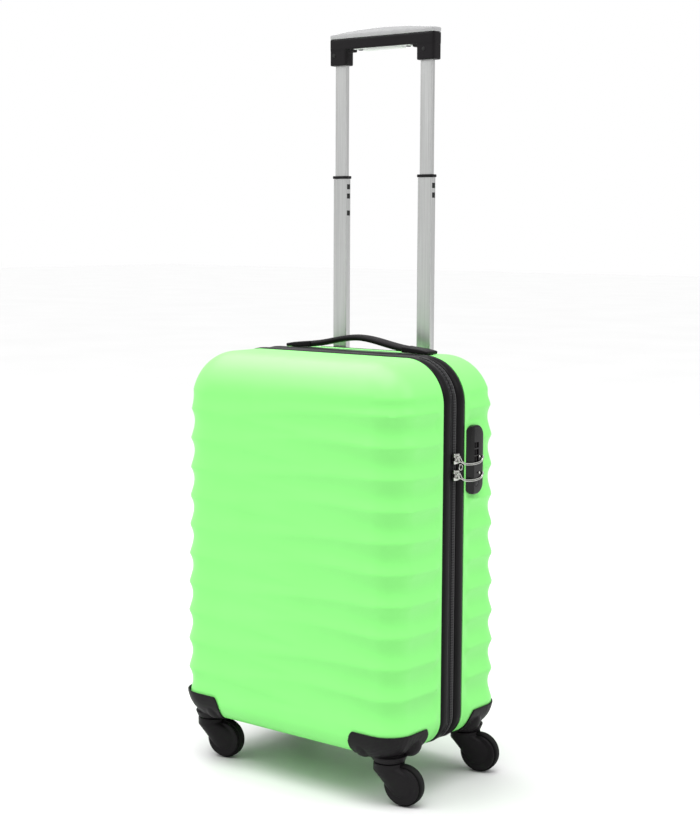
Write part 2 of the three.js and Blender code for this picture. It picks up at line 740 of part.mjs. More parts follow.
function gripCap() {
  const low = gripTop + gap;
  const shape = new THREE.Shape();
  shape.moveTo(-gripHalfSpan, low);
  shape.lineTo(gripHalfSpan, low);
  shape.lineTo(gripHalfSpan, low + gripCapEnd);
  shape.quadraticCurveTo(0, low + 2 * gripCapHeight - gripCapEnd, -gripHalfSpan, low + gripCapEnd);
  shape.closePath();
  const plan = roundedBox(0, tubeY, 2 * gripHalfSpan, gripDepth, gripCorner);
  return common(
    alongY(shape, tubeY - gripDepth, tubeY + gripDepth, 7),
    alongZ(plan, low - 5, low + 30, 5),
  );
}
piece("grip_cap", "silver", gripCap());

const gripBarBottom = gripTop - gripBarHeight;
piece("grip_button", "silver", block(
  [-gripButtonHalfLength, tubeY - gripButtonDepth / 2, gripBarBottom - gripButtonStroke],
  [gripButtonHalfLength, tubeY + gripButtonDepth / 2, gripBarBottom + gripButtonDepthInBar],
));

// ---- Strap handle on top ----

const strapHandleY = rim + strapHandleOffset;
const strapJoint = strapHandleHalfLength - strapHandleCap;
const strapLow = bodyTop + gap;

function strapHandle() {
  const end = strapJoint - gap / 2;
  const top = strapLow + strapHandleRise;
  const shape = new THREE.Shape();
  shape.moveTo(-end, strapLow + 1.5);
  shape.bezierCurveTo(-end + 26, strapLow + 5, -end + 38, top - strapHandleThickness,
    0, top - strapHandleThickness);
  shape.bezierCurveTo(end - 38, top - strapHandleThickness, end - 26, strapLow + 5,
    end, strapLow + 1.5);
  shape.lineTo(end, strapLow + 8);
  shape.bezierCurveTo(end - 22, strapLow + 12, end - 34, top, 0, top);
  shape.bezierCurveTo(-end + 34, top, -end + 22, strapLow + 12, -end, strapLow + 8);
  shape.closePath();
  return alongY(shape, strapHandleY - strapHandleWidth / 2, strapHandleY + strapHandleWidth / 2, 7);
}
piece("carry_handle", "black", strapHandle());

for (const [name, side] of [["left", -1], ["right", 1]]) {
  const inner = side * (strapJoint + gap / 2);
  const outer = side * strapHandleHalfLength;
  // The outer end follows the shell's rounded top corner.
  const shape = new THREE.Shape();
  shape.moveTo(inner, strapLow);
  shape.lineTo(outer - side * 5.5, strapLow);
  shape.lineTo(outer, strapLow - 0.1);
  shape.lineTo(outer, strapLow + 3);
  shape.quadraticCurveTo(outer - side * 14, strapLow + 7.5, inner, strapLow + 9);
  shape.closePath();
  const cap = alongY(
    shape, strapHandleY - strapHandleWidth / 2 - 1, strapHandleY + strapHandleWidth / 2 + 1, 5);
  piece(`carry_handle_end_${name}`, "black", cut(cap, halfEnvelope(1, rearReach, gap, rim - 1)));
}

// ---- The finished group ----

const footprint = new THREE.Box3().setFromObject(model);
const middle = footprint.getCenter(new THREE.Vector3());
model.position.set(-middle.x, -middle.y, 0);

// Joint axes in the finished frame, each a point on the axis.
const place = (x, y, z) => [x - middle.x, y - middle.y, z];
model.userData.axes = {
  front_open: place(hingeX, 0, bodyBottom + bodyHeight / 2),
  lock_dials: place(dialAxisX, lockY, dialsMiddleZ),
  zip_pulls: place(pullX, 0, sliderUpperZ),
  ...Object.fromEntries(corners.map(([name, sideX, direction]) => {
    const inset = direction < 0 ? frontReach - frontCasterInset : rearReach - rearCasterInset;
    return [`caster_${name}`, place(sideX * casterX, direction * (rim + inset), axleHeight)];
  })),
};

const suitcase = new THREE.Group();
suitcase.add(model);
export default suitcase;
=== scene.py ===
# %% [markdown]
# # A hard-shell cabin trolley case
# The real object is two vacuum-formed plastic half shells on a zip, with four swivel casters, a
# two-stage telescopic handle, a strap handle and a zip lock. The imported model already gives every
# piece its size and place. This file gives the pieces their visible shape and finish: ribs in the
# shells, soft moulded edges, wire zip pulls, cloth and metal.

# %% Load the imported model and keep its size
import json
import math

import bmesh
import bpy
import numpy as np
from mathutils import Matrix, Vector


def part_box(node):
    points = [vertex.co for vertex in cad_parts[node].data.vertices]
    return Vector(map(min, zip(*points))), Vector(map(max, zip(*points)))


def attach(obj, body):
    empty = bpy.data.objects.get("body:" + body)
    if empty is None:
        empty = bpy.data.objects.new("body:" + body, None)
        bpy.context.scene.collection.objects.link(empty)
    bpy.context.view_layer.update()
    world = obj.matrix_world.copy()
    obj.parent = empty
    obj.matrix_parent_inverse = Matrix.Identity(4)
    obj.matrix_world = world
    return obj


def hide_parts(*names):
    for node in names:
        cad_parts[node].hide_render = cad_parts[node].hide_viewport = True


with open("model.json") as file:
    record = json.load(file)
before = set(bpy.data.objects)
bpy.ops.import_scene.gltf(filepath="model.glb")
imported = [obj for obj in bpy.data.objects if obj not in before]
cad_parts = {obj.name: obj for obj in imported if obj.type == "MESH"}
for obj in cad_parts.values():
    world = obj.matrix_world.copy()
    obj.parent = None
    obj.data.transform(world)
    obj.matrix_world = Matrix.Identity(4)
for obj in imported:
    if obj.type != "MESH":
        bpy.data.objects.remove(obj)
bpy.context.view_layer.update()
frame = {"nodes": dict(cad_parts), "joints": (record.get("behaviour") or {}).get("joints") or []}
MM = 0.001

# %% [markdown]
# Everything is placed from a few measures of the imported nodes. The case body is symmetric left to
# right about its own middle, which is not the model's origin, because the wheels trail to one side.

# %% Measure the case from its nodes
front_low, front_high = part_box("front_shell")
rear_low, rear_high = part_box("rear_shell")
CENTRE_X = (front_low.x + front_high.x) / 2
HALF_WIDTH = (front_high.x - front_low.x) / 2
BOTTOM = front_low.z
TOP = front_high.z
FRONT_RIM = front_high.y
REAR_RIM = rear_low.y
ZIP_Y = (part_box("zip_tape_front")[1].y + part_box("zip_tape_rear")[0].y) / 2
FRONT_REACH = FRONT_RIM - front_low.y
REAR_REACH = rear_high.y - REAR_RIM
SHELL_WALL = 2.5 * MM
TOP_CORNER = 55 * MM
BOTTOM_CORNER = 35 * MM
FACE_ROLL = 40 * MM
LOW_FACE_ROLL = 29 * MM
TOP_ROLL = 48 * MM
BOTTOM_ROLL = 25 * MM
print("body width", round(2 * HALF_WIDTH / MM, 1), "height", round((TOP - BOTTOM) / MM, 1), "mm")

# %% [markdown]
# ## Camera, floor and light
# The camera stands at a person's chest height, to the right of the front, with a long lens, so the
# upright edges stay almost parallel. A big pale floor and an even white sky give soft shadows.

# %% Camera
CAMERA_PLACE = Vector((CENTRE_X + 1.268, ZIP_Y - 1.591, 0.684))
CAMERA_TURN = math.radians(38.56)
CAMERA_DIP = math.radians(6.36)
CAMERA_ROLL = 0.004
LENS = 71.5
SIDEWAYS_SHIFT = 0.0094


def add_camera():
    bpy.ops.object.camera_add(location=CAMERA_PLACE)
    camera = bpy.context.object
    ahead = Vector((-math.sin(CAMERA_TURN) * math.cos(CAMERA_DIP),
                    math.cos(CAMERA_TURN) * math.cos(CAMERA_DIP), -math.sin(CAMERA_DIP)))
    turn = ahead.to_track_quat("-Z", "Y").to_matrix() @ Matrix.Rotation(CAMERA_ROLL, 3, "Z")
    camera.matrix_world = Matrix.Translation(CAMERA_PLACE) @ turn.to_4x4()
    camera.data.lens = LENS
    camera.data.sensor_width = 36
    camera.data.shift_x = SIDEWAYS_SHIFT
    camera.data.clip_start = 0.05
    camera.data.clip_end = 60
    bpy.context.scene.camera = camera
    return camera


add_camera()
print("camera", [round(value, 3) for value in CAMERA_PLACE])


# %% Helpers to select and to finish pieces
def deselect_all():
    if bpy.context.object and bpy.context.object.mode != "OBJECT":
        bpy.ops.object.mode_set(mode="OBJECT")
    bpy.ops.object.select_all(action="DESELECT")


def take(piece):
    """Makes one piece the only selected one and the active one."""
    deselect_all()
    piece.select_set(True)
    bpy.context.view_layer.objects.active = piece
    return piece


def new_piece(name):
    """Names the object that an add operator has just made, and puts its place into its mesh."""
    piece = bpy.context.object
    piece.name = name
    piece.data.name = name
    take(piece)
    bpy.ops.object.transform_apply(location=True, rotation=True, scale=True)
    return piece


def edit(piece, kind="FACE"):
    """Opens a piece in edit mode with nothing selected."""
    take(piece)
    bpy.ops.object.mode_set(mode="EDIT")
    bpy.ops.mesh.select_mode(type=kind)
    bpy.ops.mesh.select_all(action="DESELECT")


def pick(piece, test, kind="FACE"):
    """Selects the faces, edges or corners whose middle passes a test, in the open edit mesh."""
    mesh = bmesh.from_edit_mesh(piece.data)
    parts = {"FACE": mesh.faces, "EDGE": mesh.edges, "VERT": mesh.verts}[kind]
    for part in parts:
        if kind == "FACE":
            chosen = test(part.calc_center_median(), part.normal)
        elif kind == "EDGE":
            along = part.verts[1].co - part.verts[0].co
            chosen = test((part.verts[0].co + part.verts[1].co) / 2, along)
        else:
            chosen = test(part.co)
        part.select_set(bool(chosen))
    mesh.select_flush_mode()
    bmesh.update_edit_mesh(piece.data)


def done():
    bpy.ops.object.mode_set(mode="OBJECT")


def modifier(piece, kind, **settings):
    """Adds a modifier, sets it and applies it."""
    take(piece)
    added = piece.modifiers.new(kind.title(), kind)
    for key, value in settings.items():
        setattr(added, key, value)
    bpy.ops.object.modifier_apply(modifier=added.name)
    return piece


def smooth(piece, degrees=35):
    take(piece)
    bpy.ops.object.shade_smooth_by_angle(angle=math.radians(degrees))
    return piece


def clean(piece, distance=1e-5):
    """Merges doubles and turns every face outwards."""
    edit(piece)
    bpy.ops.mesh.select_all(action="SELECT")
    bpy.ops.mesh.remove_doubles(threshold=distance)
    bpy.ops.mesh.normals_make_consistent(inside=False)
    done()
    return piece


def copied_node(node, name):
    """A separate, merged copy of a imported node's mesh, to be worked on as a new piece."""
    source = frame["nodes"][node]
    piece = bpy.data.objects.new(name, source.data.copy())
    bpy.context.scene.collection.objects.link(piece)
    piece.data.materials.clear()
    return clean(piece, 2e-5)


def soften(piece, grain, passes=8, strength=0.5):
    """Turns a hard-edged solid into one with soft moulded edges: an even skin, then smoothing."""
    modifier(piece, "REMESH", mode="VOXEL", voxel_size=grain, adaptivity=0, use_smooth_shade=True)
    modifier(piece, "SMOOTH", factor=strength, iterations=passes)
    return piece


def fit_to(piece, body, slot, material, *nodes):
    """Gives a finished piece its body and material, and hides the imported nodes it stands for. The slot is
    not used.
    """
    piece.data.materials.clear()
    piece.data.materials.append(material)
    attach(piece, body)
    if nodes:
        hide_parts(*nodes)
    print(piece.name, "on", body, "with", len(piece.data.polygons), "faces")
    return piece

# %% [markdown]
# ## Finishes
# Each finish is a small node tree on Object coordinates, in metres, so its grain keeps its real size
# on every piece. A base tone is varied a little by a slow noise, the way moulded plastic and drawn
# metal vary, and a fine noise gives the surface its grain through a Bump node.

# %% Finish helpers
def start_finish(name, metallic=0.0, roughness=0.5, specular=0.5):
    """A material with its shader, ready for a colour, a roughness and a bump."""
    material = bpy.data.materials.new(name)
    material.use_nodes = True
    shader = material.node_tree.nodes["Principled BSDF"]
    shader.inputs["Metallic"].default_value = metallic
    shader.inputs["Roughness"].default_value = roughness
    shader.inputs["Specular IOR Level"].default_value = specular
    return material, shader


def join_nodes(material, source, output, target, entry):
    material.node_tree.links.new(source.outputs[output], target.inputs[entry])


def place_pattern(material, stretch=(1, 1, 1), turn=(0, 0, 0)):
    nodes = material.node_tree.nodes
    coordinates = nodes.new("ShaderNodeTexCoord")
    mapping = nodes.new("ShaderNodeMapping")
    mapping.inputs["Scale"].default_value = stretch
    mapping.inputs["Rotation"].default_value = turn
    join_nodes(material, coordinates, "Object", mapping, "Vector")
    return mapping


def add_noise(material, mapping, scale, detail=2.0, roughness=0.5):
    noise = material.node_tree.nodes.new("ShaderNodeTexNoise")
    noise.inputs["Scale"].default_value = scale
    noise.inputs["Detail"].default_value = detail
    noise.inputs["Roughness"].default_value = roughness
    join_nodes(material, mapping, "Vector", noise, "Vector")
    return noise


def add_bands(material, mapping, scale, direction="X", distortion=0.0):
    bands = material.node_tree.nodes.new("ShaderNodeTexWave")
    bands.bands_direction = direction
    bands.inputs["Scale"].default_value = scale
    bands.inputs["Distortion"].default_value = distortion
    join_nodes(material, mapping, "Vector", bands, "Vector")
    return bands


def vary_colour(material, shader, factor_node, output, dark, light, low=0.3, high=0.7):
    ramp = material.node_tree.nodes.new("ShaderNodeValToRGB")
    ramp.color_ramp.elements[0].position = low
    ramp.color_ramp.elements[0].color = (*dark, 1)
    ramp.color_ramp.elements[1].position = high
    ramp.color_ramp.elements[1].color = (*light, 1)
    join_nodes(material, factor_node, output, ramp, "Fac")
    join_nodes(material, ramp, "Color", shader, "Base Color")
    return ramp


def vary_roughness(material, shader, factor_node, output, low, high):
    remap = material.node_tree.nodes.new("ShaderNodeMapRange")
    remap.inputs["To Min"].default_value = low
    remap.inputs["To Max"].default_value = high
    join_nodes(material, factor_node, output, remap, "Value")
    join_nodes(material, remap, "Result", shader, "Roughness")


def add_grain(material, shader, factor_node, output, depth, strength=1.0, below=None):
    """A bump of a real depth in metres, on top of another bump if one is given."""
    bump = material.node_tree.nodes.new("ShaderNodeBump")
    bump.inputs["Strength"].default_value = strength
    bump.inputs["Distance"].default_value = depth
    join_nodes(material, factor_node, output, bump, "Height")
    if below:
        join_nodes(material, below, "Normal", bump, "Normal")
    join_nodes(material, bump, "Normal", shader, "Normal")
    return bump


# %% Moulded plastics
def moulded_plastic(name, dark, light, roughness, grain=0.00003, grain_scale=1400, specular=0.5,
                    coat=0.0):
    """Plastic with a fine spark-eroded grain and a slow drift in tone and gloss."""
    material, shader = start_finish(name, roughness=roughness, specular=specular)
    mapping = place_pattern(material)
    drift = add_noise(material, mapping, 9, detail=3)
    vary_colour(material, shader, drift, "Fac", dark, light)
    patches = add_noise(material, mapping, 60, detail=4)
    vary_roughness(material, shader, patches, "Fac", roughness * 0.88, roughness * 1.12)
    fine = add_noise(material, mapping, grain_scale, detail=2)
    add_grain(material, shader, fine, "Fac", grain, strength=0.6)
    shader.inputs["Coat Weight"].default_value = coat
    shader.inputs["Coat Roughness"].default_value = 0.12
    return material


SHELL = moulded_plastic("apple_green_abs", (0.225, 0.780, 0.180), (0.235, 0.800, 0.190), 0.42,
                        grain=0.00002, specular=0.35)
FRAME_BLACK = moulded_plastic("frame_black", (0.006, 0.006, 0.006), (0.009, 0.008, 0.009), 0.3,
                              specular=0.06)
SOFT_BLACK = moulded_plastic("caster_black", (0.007, 0.006, 0.007), (0.011, 0.010, 0.011), 0.46,
                             grain=0.00006, grain_scale=1100, specular=0.11)
GLOSS_BLACK = moulded_plastic("gloss_black", (0.005, 0.005, 0.005), (0.008, 0.007, 0.008), 0.22,
                              grain=0.000006, specular=0.2, coat=0.12)
TYRE_BLACK = moulded_plastic("tyre_black", (0.006, 0.006, 0.006), (0.010, 0.010, 0.010), 0.62,
                             grain=0.00008, grain_scale=700, specular=0.09)
SILVER_CAP = moulded_plastic("silver_cap", (0.36, 0.36, 0.365), (0.40, 0.40, 0.405), 0.28,
                             grain=0.00001, specular=0.5, coat=0.3)
# Near-black painted shade: it fills the lock holes and colours the screw heads in place of the shade in
# those recesses.
PAINTED_SHADE = moulded_plastic("painted_shade_black", (0.003, 0.003, 0.003), (0.005, 0.005, 0.005), 0.8)


# %% Metals
def drawn_metal(name, dark, light, roughness, stretch, grain=0.000008):
    """Metal with fine lines along the way it was drawn or brushed."""
    material, shader = start_finish(name, metallic=1.0, roughness=roughness)
    mapping = place_pattern(material, stretch=stretch)
    lines = add_noise(material, mapping, 1, detail=5, roughness=0.6)
    vary_colour(material, shader, lines, "Fac", dark, light, 0.35, 0.65)
    vary_roughness(material, shader, lines, "Fac", roughness * 0.8, roughness * 1.25)
    add_grain(material, shader, lines, "Fac", grain, strength=0.5)
    return material


ALUMINIUM = drawn_metal("drawn_aluminium", (0.48, 0.485, 0.48), (0.61, 0.615, 0.61), 0.36,
                        (1500, 1500, 8))
ZINC = drawn_metal("polished_zinc", (0.46, 0.46, 0.44), (0.58, 0.58, 0.55), 0.18,
                   (180, 180, 180), grain=0.000004)
STEEL = drawn_metal("plain_steel", (0.42, 0.42, 0.42), (0.52, 0.52, 0.52), 0.3, (60, 1200, 60))
PALE_PLATE = moulded_plastic("pale_plate", (0.60, 0.62, 0.60), (0.66, 0.68, 0.66), 0.35)


# %% Cloths
def woven(name, dark, light, pitch, across=("X", "Z"), depth=0.0002, sheen=0.25):
    """Two crossed sets of threads at a real pitch, with a soft fuzz."""
    material, shader = start_finish(name, roughness=0.85, specular=0.2)
    mapping = place_pattern(material)
    waves_per_metre = 1 / pitch / 20
    warp = add_bands(material, mapping, waves_per_metre * 2 * math.pi / 2, across[0], 0.4)
    weft = add_bands(material, mapping, waves_per_metre * 2 * math.pi / 2, across[1], 0.4)
    mix = material.node_tree.nodes.new("ShaderNodeMath")
    mix.operation = "MULTIPLY"
    join_nodes(material, warp, "Fac", mix, 0)
    join_nodes(material, weft, "Fac", mix, 1)
    vary_colour(material, shader, mix, "Value", dark, light, 0.1, 0.8)
    weave = add_grain(material, shader, mix, "Value", depth, strength=0.8)
    fuzz = add_noise(material, mapping, 900, detail=3)
    add_grain(material, shader, fuzz, "Fac", depth / 4, strength=0.5, below=weave)
    shader.inputs["Sheen Weight"].default_value = sheen
    shader.inputs["Sheen Roughness"].default_value = 0.4
    return material


WEBBING = woven("black_webbing", (0.010, 0.010, 0.011), (0.035, 0.034, 0.036), 1.6 * MM)
LINING = woven("grey_lining", (0.060, 0.063, 0.068), (0.105, 0.110, 0.118), 0.9 * MM, depth=0.00008)
print("finishes:", sorted(material.name for material in bpy.data.materials))

# %% [markdown]
# ## The mould
# A half shell is made from a flat plastic sheet that is heated and sucked over a mould. The same
# idea is used here: a flat grid is added and each of its corners is moved onto the mould's surface.
# The outer rings of the grid become the walls and the rolled edges, and its middle becomes the face.
# A formula fits better than bevels here, because the side, top and bottom edges have different radii.

# %% The mould's outline, seen from the front
def roll_inset(depth, reach, radius):
    """How far a wall with this edge radius has turned in at a depth behind the rim."""
    past = min(max(depth - (reach - radius), 0), radius)
    return radius - math.sqrt(radius * radius - past * past)


def face_roll_at(height):
    """The upright edges are rounder near the top of the case than near its foot."""
    share = min(max((TOP - height - 60 * MM) / (330 * MM), 0), 1)
    return FACE_ROLL + (LOW_FACE_ROLL - FACE_ROLL) * share * share * (3 - 2 * share)


def side_walk(share, length, first, last):
    """A place along one side of a rounded outline, from the middle of one corner to the next.
    Gives the distance along the side, and how far the place lies inside the side's line."""
    arc_first = first * math.pi / 4
    arc_last = last * math.pi / 4
    straight = length - first - last
    walked = share * (arc_first + straight + arc_last)
    if walked < arc_first:
        angle = math.pi / 4 - walked / first
        return first - first * math.sin(angle), first - first * math.cos(angle)
    if walked > arc_first + straight:
        angle = (walked - arc_first - straight) / last
        return length - last + last * math.sin(angle), last - last * math.cos(angle)
    return first + walked - arc_first, 0.0


def ring_outline(grow, side=0.0, top=0.0, bottom=0.0):
    """The sizes of the outline where its walls have turned in by these amounts."""
    least = 10 * MM
    return {
        "half": HALF_WIDTH + grow - side,
        "low": BOTTOM - grow + bottom,
        "high": TOP + grow - top,
        "upper": max(TOP_CORNER + grow - min(side, top), least),
        "lower": max(BOTTOM_CORNER + grow - min(side, bottom), least),
    }


def on_outline(ring, edge, share):
    """X and Z of a place on an outline. Sides run upwards, and the top and bottom run to the right."""
    width, height = 2 * ring["half"], ring["high"] - ring["low"]
    if edge in ("left", "right"):
        along, inside = side_walk(share, height, ring["lower"], ring["upper"])
        across = ring["half"] - inside
        return CENTRE_X + (across if edge == "right" else -across), ring["low"] + along
    radius = ring["upper"] if edge == "top" else ring["lower"]
    along, inside = side_walk(share, width, radius, radius)
    level = ring["high"] - inside if edge == "top" else ring["low"] + inside
    return CENTRE_X - ring["half"] + along, level


# %% Press a flat sheet over the mould
WALL_RINGS = 12
ROLL_RINGS = 16


def press_sheet(name, direction, rim, reach, grow=0.0, columns=130, rows=180,
                wall_rings=WALL_RINGS, roll_rings=ROLL_RINGS):
    """A grid pressed onto a half shell's outer surface. direction is -1 for the front half."""
    bpy.ops.mesh.primitive_grid_add(x_subdivisions=columns, y_subdivisions=rows, size=2)
    sheet = new_piece(name)
    depth = reach + grow
    deepest = max(FACE_ROLL, TOP_ROLL) + grow
    rings = wall_rings + roll_rings
    depths = [(depth - deepest) * step / wall_rings for step in range(wall_rings)]
    depths += [depth - deepest + deepest * math.sin(step / roll_rings * math.pi / 2)
               for step in range(roll_rings + 1)]
    outlines = [ring_outline(grow, roll_inset(at, depth, FACE_ROLL + grow),
                             roll_inset(at, depth, TOP_ROLL + grow),
                             roll_inset(at, depth, BOTTOM_ROLL + grow)) for at in depths]
    for corner in sheet.data.vertices:
        i = round((corner.co.x + 1) / 2 * columns)
        j = round((corner.co.y + 1) / 2 * rows)
        k = min(i, columns - i, j, rows - j, rings)
        ring = outlines[k]
        across = (i - k) / (columns - 2 * k)
        up = (j - k) / (rows - 2 * k)
        left, right = on_outline(ring, "left", up), on_outline(ring, "right", up)
        low, high = on_outline(ring, "bottom", across), on_outline(ring, "top", across)
        if i == k:
            x, z = left
        elif i == columns - k:
            x, z = right
        elif j == k:
            x, z = low
        elif j == rows - k:
            x, z = high
        else:
            x = left[0] + (right[0] - left[0]) * across
            z = low[1] + (high[1] - low[1]) * up
        turned_in = roll_inset(depths[k], depth, face_roll_at(z) + grow)
        widen = (HALF_WIDTH + grow - turned_in) / ring["half"]
        corner.co = (CENTRE_X + (x - CENTRE_X) * widen, rim + direction * depths[k], z)
    edit(sheet)
    bpy.ops.mesh.select_all(action="SELECT")
    if direction > 0:
        bpy.ops.mesh.flip_normals()
    done()
    sheet.data.update()
    return sheet


# %% [markdown]
# ## Ribs
# The shells carry lapped waves: each rib has a crisp upper edge, falls in quickly under it and comes
# out slowly to the next edge. On the right they start as full waves round the corner. On the face the
# edges sink a little towards the left and run out, every other one sooner, while a second set from
# the left side, a third of a wave lower, comes down to meet them. The grooves are cut into the
# pressed sheet by moving its corners along their normals.

# %% The lines of the ribs' edges
RIB_PITCH = 37.3 * MM
RIB_DEPTH = 4.8 * MM
DOME_EDGE = TOP - 42 * MM
FIRST_EDGE = TOP - 61.3 * MM
RIB_COUNT = 11
LEFT_DROP = 12.8 * MM


def ease(value, start, end):
    """0 before start, 1 after end, and a smooth step between them."""
    share = np.clip((value - start) / (end - start), 0, 1)
    return share * share * (3 - 2 * share)


def right_edge(number, x):
    """Height of a rib's edge that starts on the right side, at distance x from the case's middle."""
    if number < 0:
        return DOME_EDGE - 4 * MM * ease(-x, -20 * MM, 130 * MM)
    sink = 15 * MM if number % 2 == 0 else 3 * MM
    rise = 0 if number % 2 == 0 else 4 * MM * ease(-x, -150 * MM, -60 * MM)
    return FIRST_EDGE - number * RIB_PITCH - sink * ease(-x, -95 * MM, 110 * MM) + rise


def left_edge(number, x):
    """Height of a rib's edge that starts on the left side."""
    if number < 0:
        return DOME_EDGE - LEFT_DROP * 0.6 + 2 * MM * ease(x, -150 * MM, 60 * MM)
    return FIRST_EDGE - LEFT_DROP - number * RIB_PITCH - 15 * MM * ease(x, -140 * MM, 70 * MM)


def groove(height, upper, lower, width):
    """Depth from 0 to 1 under an edge. It falls in fast and comes out slowly."""
    share = np.clip((upper - height) / np.maximum(upper - lower, 1e-6), 0, 1)
    share = np.clip(share / width, 0, 1)
    warped = share * (1 + 0.3 * (1 - share))
    return np.sin(math.pi * np.clip(warped, 0, 1))


# %% Cut the grooves into a pressed sheet
RIM_FADE = 10 * MM
LOCK_PAD = 7 * MM
SWELL = 3 * MM


def rib_depth(places, normals, rim, flat_box=None):
    """How far each place sinks, in metres. The edges between the grooves swell out a little."""
    x = places[:, 0] - CENTRE_X
    z = places[:, 2]
    depth = np.zeros(len(places))
    for number in range(-1, RIB_COUNT - 1):
        long_rib = number % 2 == 0
        share = 0.45 if number < 0 else 1.0
        tip = -100 * MM if long_rib else -55 * MM
        strength = 0.62 * ease(x, tip, 120 * MM) + 0.38 * ease(x, 90 * MM, 160 * MM)
        width = 0.30 + 0.70 * ease(x, tip, 70 * MM)
        depth += share * strength * groove(z, right_edge(number, x), right_edge(number + 1, x), width)
        share = 0.35 if number < 0 else 1.0
        strength = 0.3 * ease(-x, -75 * MM, 60 * MM) + 0.7 * ease(-x, 115 * MM, 168 * MM)
        width = 0.24 + 0.76 * ease(-x, -50 * MM, 140 * MM)
        depth += share * strength * groove(z, left_edge(number, x), left_edge(number + 1, x), width)
    swell = SWELL * ease(TOP - z, 25 * MM, 100 * MM) * (1 - np.abs(normals[:, 2]))
    depth = RIB_DEPTH * depth - swell
    depth *= ease(np.abs(places[:, 1] - rim), 3 * MM, RIM_FADE + 3 * MM)
    if flat_box:
        low, high = flat_box
        away = np.maximum.reduce([low.y - places[:, 1], places[:, 1] - high.y,
                                  low.z - z, z - high.z, np.zeros(len(z))])
        near_side = x > 0.6 * HALF_WIDTH
        depth *= np.where(near_side, ease(away, 1 * MM, LOCK_PAD), 1)
    return depth


def cut_ribs(sheet, rim, flat_box=None):
    count = len(sheet.data.vertices)
    places = np.zeros(count * 3)
    normals = np.zeros(count * 3)
    sheet.data.vertices.foreach_get("co", places)
    sheet.data.vertices.foreach_get("normal", normals)
    places, normals = places.reshape(-1, 3), normals.reshape(-1, 3)
    depth = rib_depth(places, normals, rim, flat_box)
    sheet.data.vertices.foreach_set("co", (places - normals * depth[:, None]).ravel())
    sheet.data.update()
    print(sheet.name, "deepest groove", round(depth.max() / MM, 2), "mm")


# %% The two half shells
def half_shell(name, direction, rim, reach, flat_box=None):
    shell = press_sheet(name, direction, rim, reach)
    cut_ribs(shell, rim, flat_box)
    modifier(shell, "SOLIDIFY", thickness=SHELL_WALL, offset=-1, use_even_offset=False)
    return smooth(shell, 40)


front_shell = half_shell("ribbed_front_shell", -1, FRONT_RIM, FRONT_REACH)
fit_to(front_shell, "front_half", "shell", SHELL, "front_shell")


def rounded_block(name, low, high, radius, steps=5, upright=True):
    """A block with its upright or Y-running edges rounded, used as a cutter or a blank."""
    centre = (Vector(low) + Vector(high)) / 2
    size = Vector(high) - Vector(low)
    bpy.ops.mesh.primitive_cube_add(size=1, location=centre, scale=size)
    block = new_piece(name)
    axis = 2 if upright else 1
    if radius > 0:
        edit(block, "EDGE")
        pick(block, lambda middle, along: abs(along[axis]) > 0.9 * along.length, "EDGE")
        bpy.ops.mesh.bevel(offset=radius, segments=steps, affect="EDGES")
        done()
    return block


def subtract(piece, cutter):
    modifier(piece, "BOOLEAN", operation="DIFFERENCE", object=cutter, solver="EXACT")
    bpy.data.objects.remove(cutter)
    return piece


lock_low, lock_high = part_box("lock_body")
rear_shell = press_sheet("ribbed_rear_shell", 1, REAR_RIM, REAR_REACH)
cut_ribs(rear_shell, REAR_RIM, (lock_low, lock_high))
modifier(rear_shell, "SOLIDIFY", thickness=SHELL_WALL, offset=-1, use_even_offset=False)
tray_low, tray_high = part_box("handle_tray")
tray_gap = Vector((0.3, 0.3, 0.3)) * MM
subtract(rear_shell, rounded_block("tray_cutter", tray_low - tray_gap,
                                   tray_high + Vector((0.3, 0.3, 20)) * MM, 8.6 * MM))
dial_low, dial_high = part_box("lock_dial_3")[0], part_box("lock_dial_1")[1]
subtract(rear_shell, rounded_block("dial_cutter", dial_low - Vector((6, 1, 1.5)) * MM,
                                   dial_high + Vector((6, 1, 1.5)) * MM, 0))
smooth(rear_shell, 40)
fit_to(rear_shell, "case", "shell", SHELL, "rear_shell")

# %% [markdown]
# ## Frames and zip
# The two black frames and the zip tapes are strips that follow the shells' outline all round. Each is
# a grid whose columns go round the case and whose rows go round the strip's own section.

# %% Wrap a strip round the case
SIDE_STEPS = {"bottom": 36, "right": 56, "top": 44, "left": 56}


def walk_outline(grow):
    """Places round the case, in X and Z, starting at the lower left corner."""
    ring = ring_outline(grow)
    places = []
    for edge, steps in SIDE_STEPS.items():
        shares = [step / steps for step in range(steps)]
        if edge in ("top", "left"):
            shares = [1 - share for share in shares]
        places += [on_outline(ring, edge, share) for share in shares]
    return places + places[:1]


def wrap_strip(name, section):
    """A closed strip. The section lists (Y, how far outside the case's outline) in order."""
    loops = [walk_outline(grow) for _, grow in section] + [walk_outline(section[0][1])]
    levels = [level for level, _ in section] + [section[0][0]]
    columns, rows = len(loops[0]) - 1, len(loops) - 1
    bpy.ops.mesh.primitive_grid_add(x_subdivisions=columns, y_subdivisions=rows, size=2)
    strip = new_piece(name)
    for corner in strip.data.vertices:
        i = round((corner.co.x + 1) / 2 * columns)
        j = round((corner.co.y + 1) / 2 * rows)
        x, z = loops[j][i]
        corner.co = (x, levels[j], z)
    return smooth(clean(strip), 40)


def crowned(low, high, base, crown, floor, steps=8):
    """A section with a softly domed outside between two Y values, and a flat inside."""
    outside = []
    for step in range(steps + 1):
        share = step / steps
        lift = 1 - abs(2 * share - 1) ** 3.2
        outside.append((low + (high - low) * share, base + crown * lift))
    return outside + [(high, floor), (low, floor)]


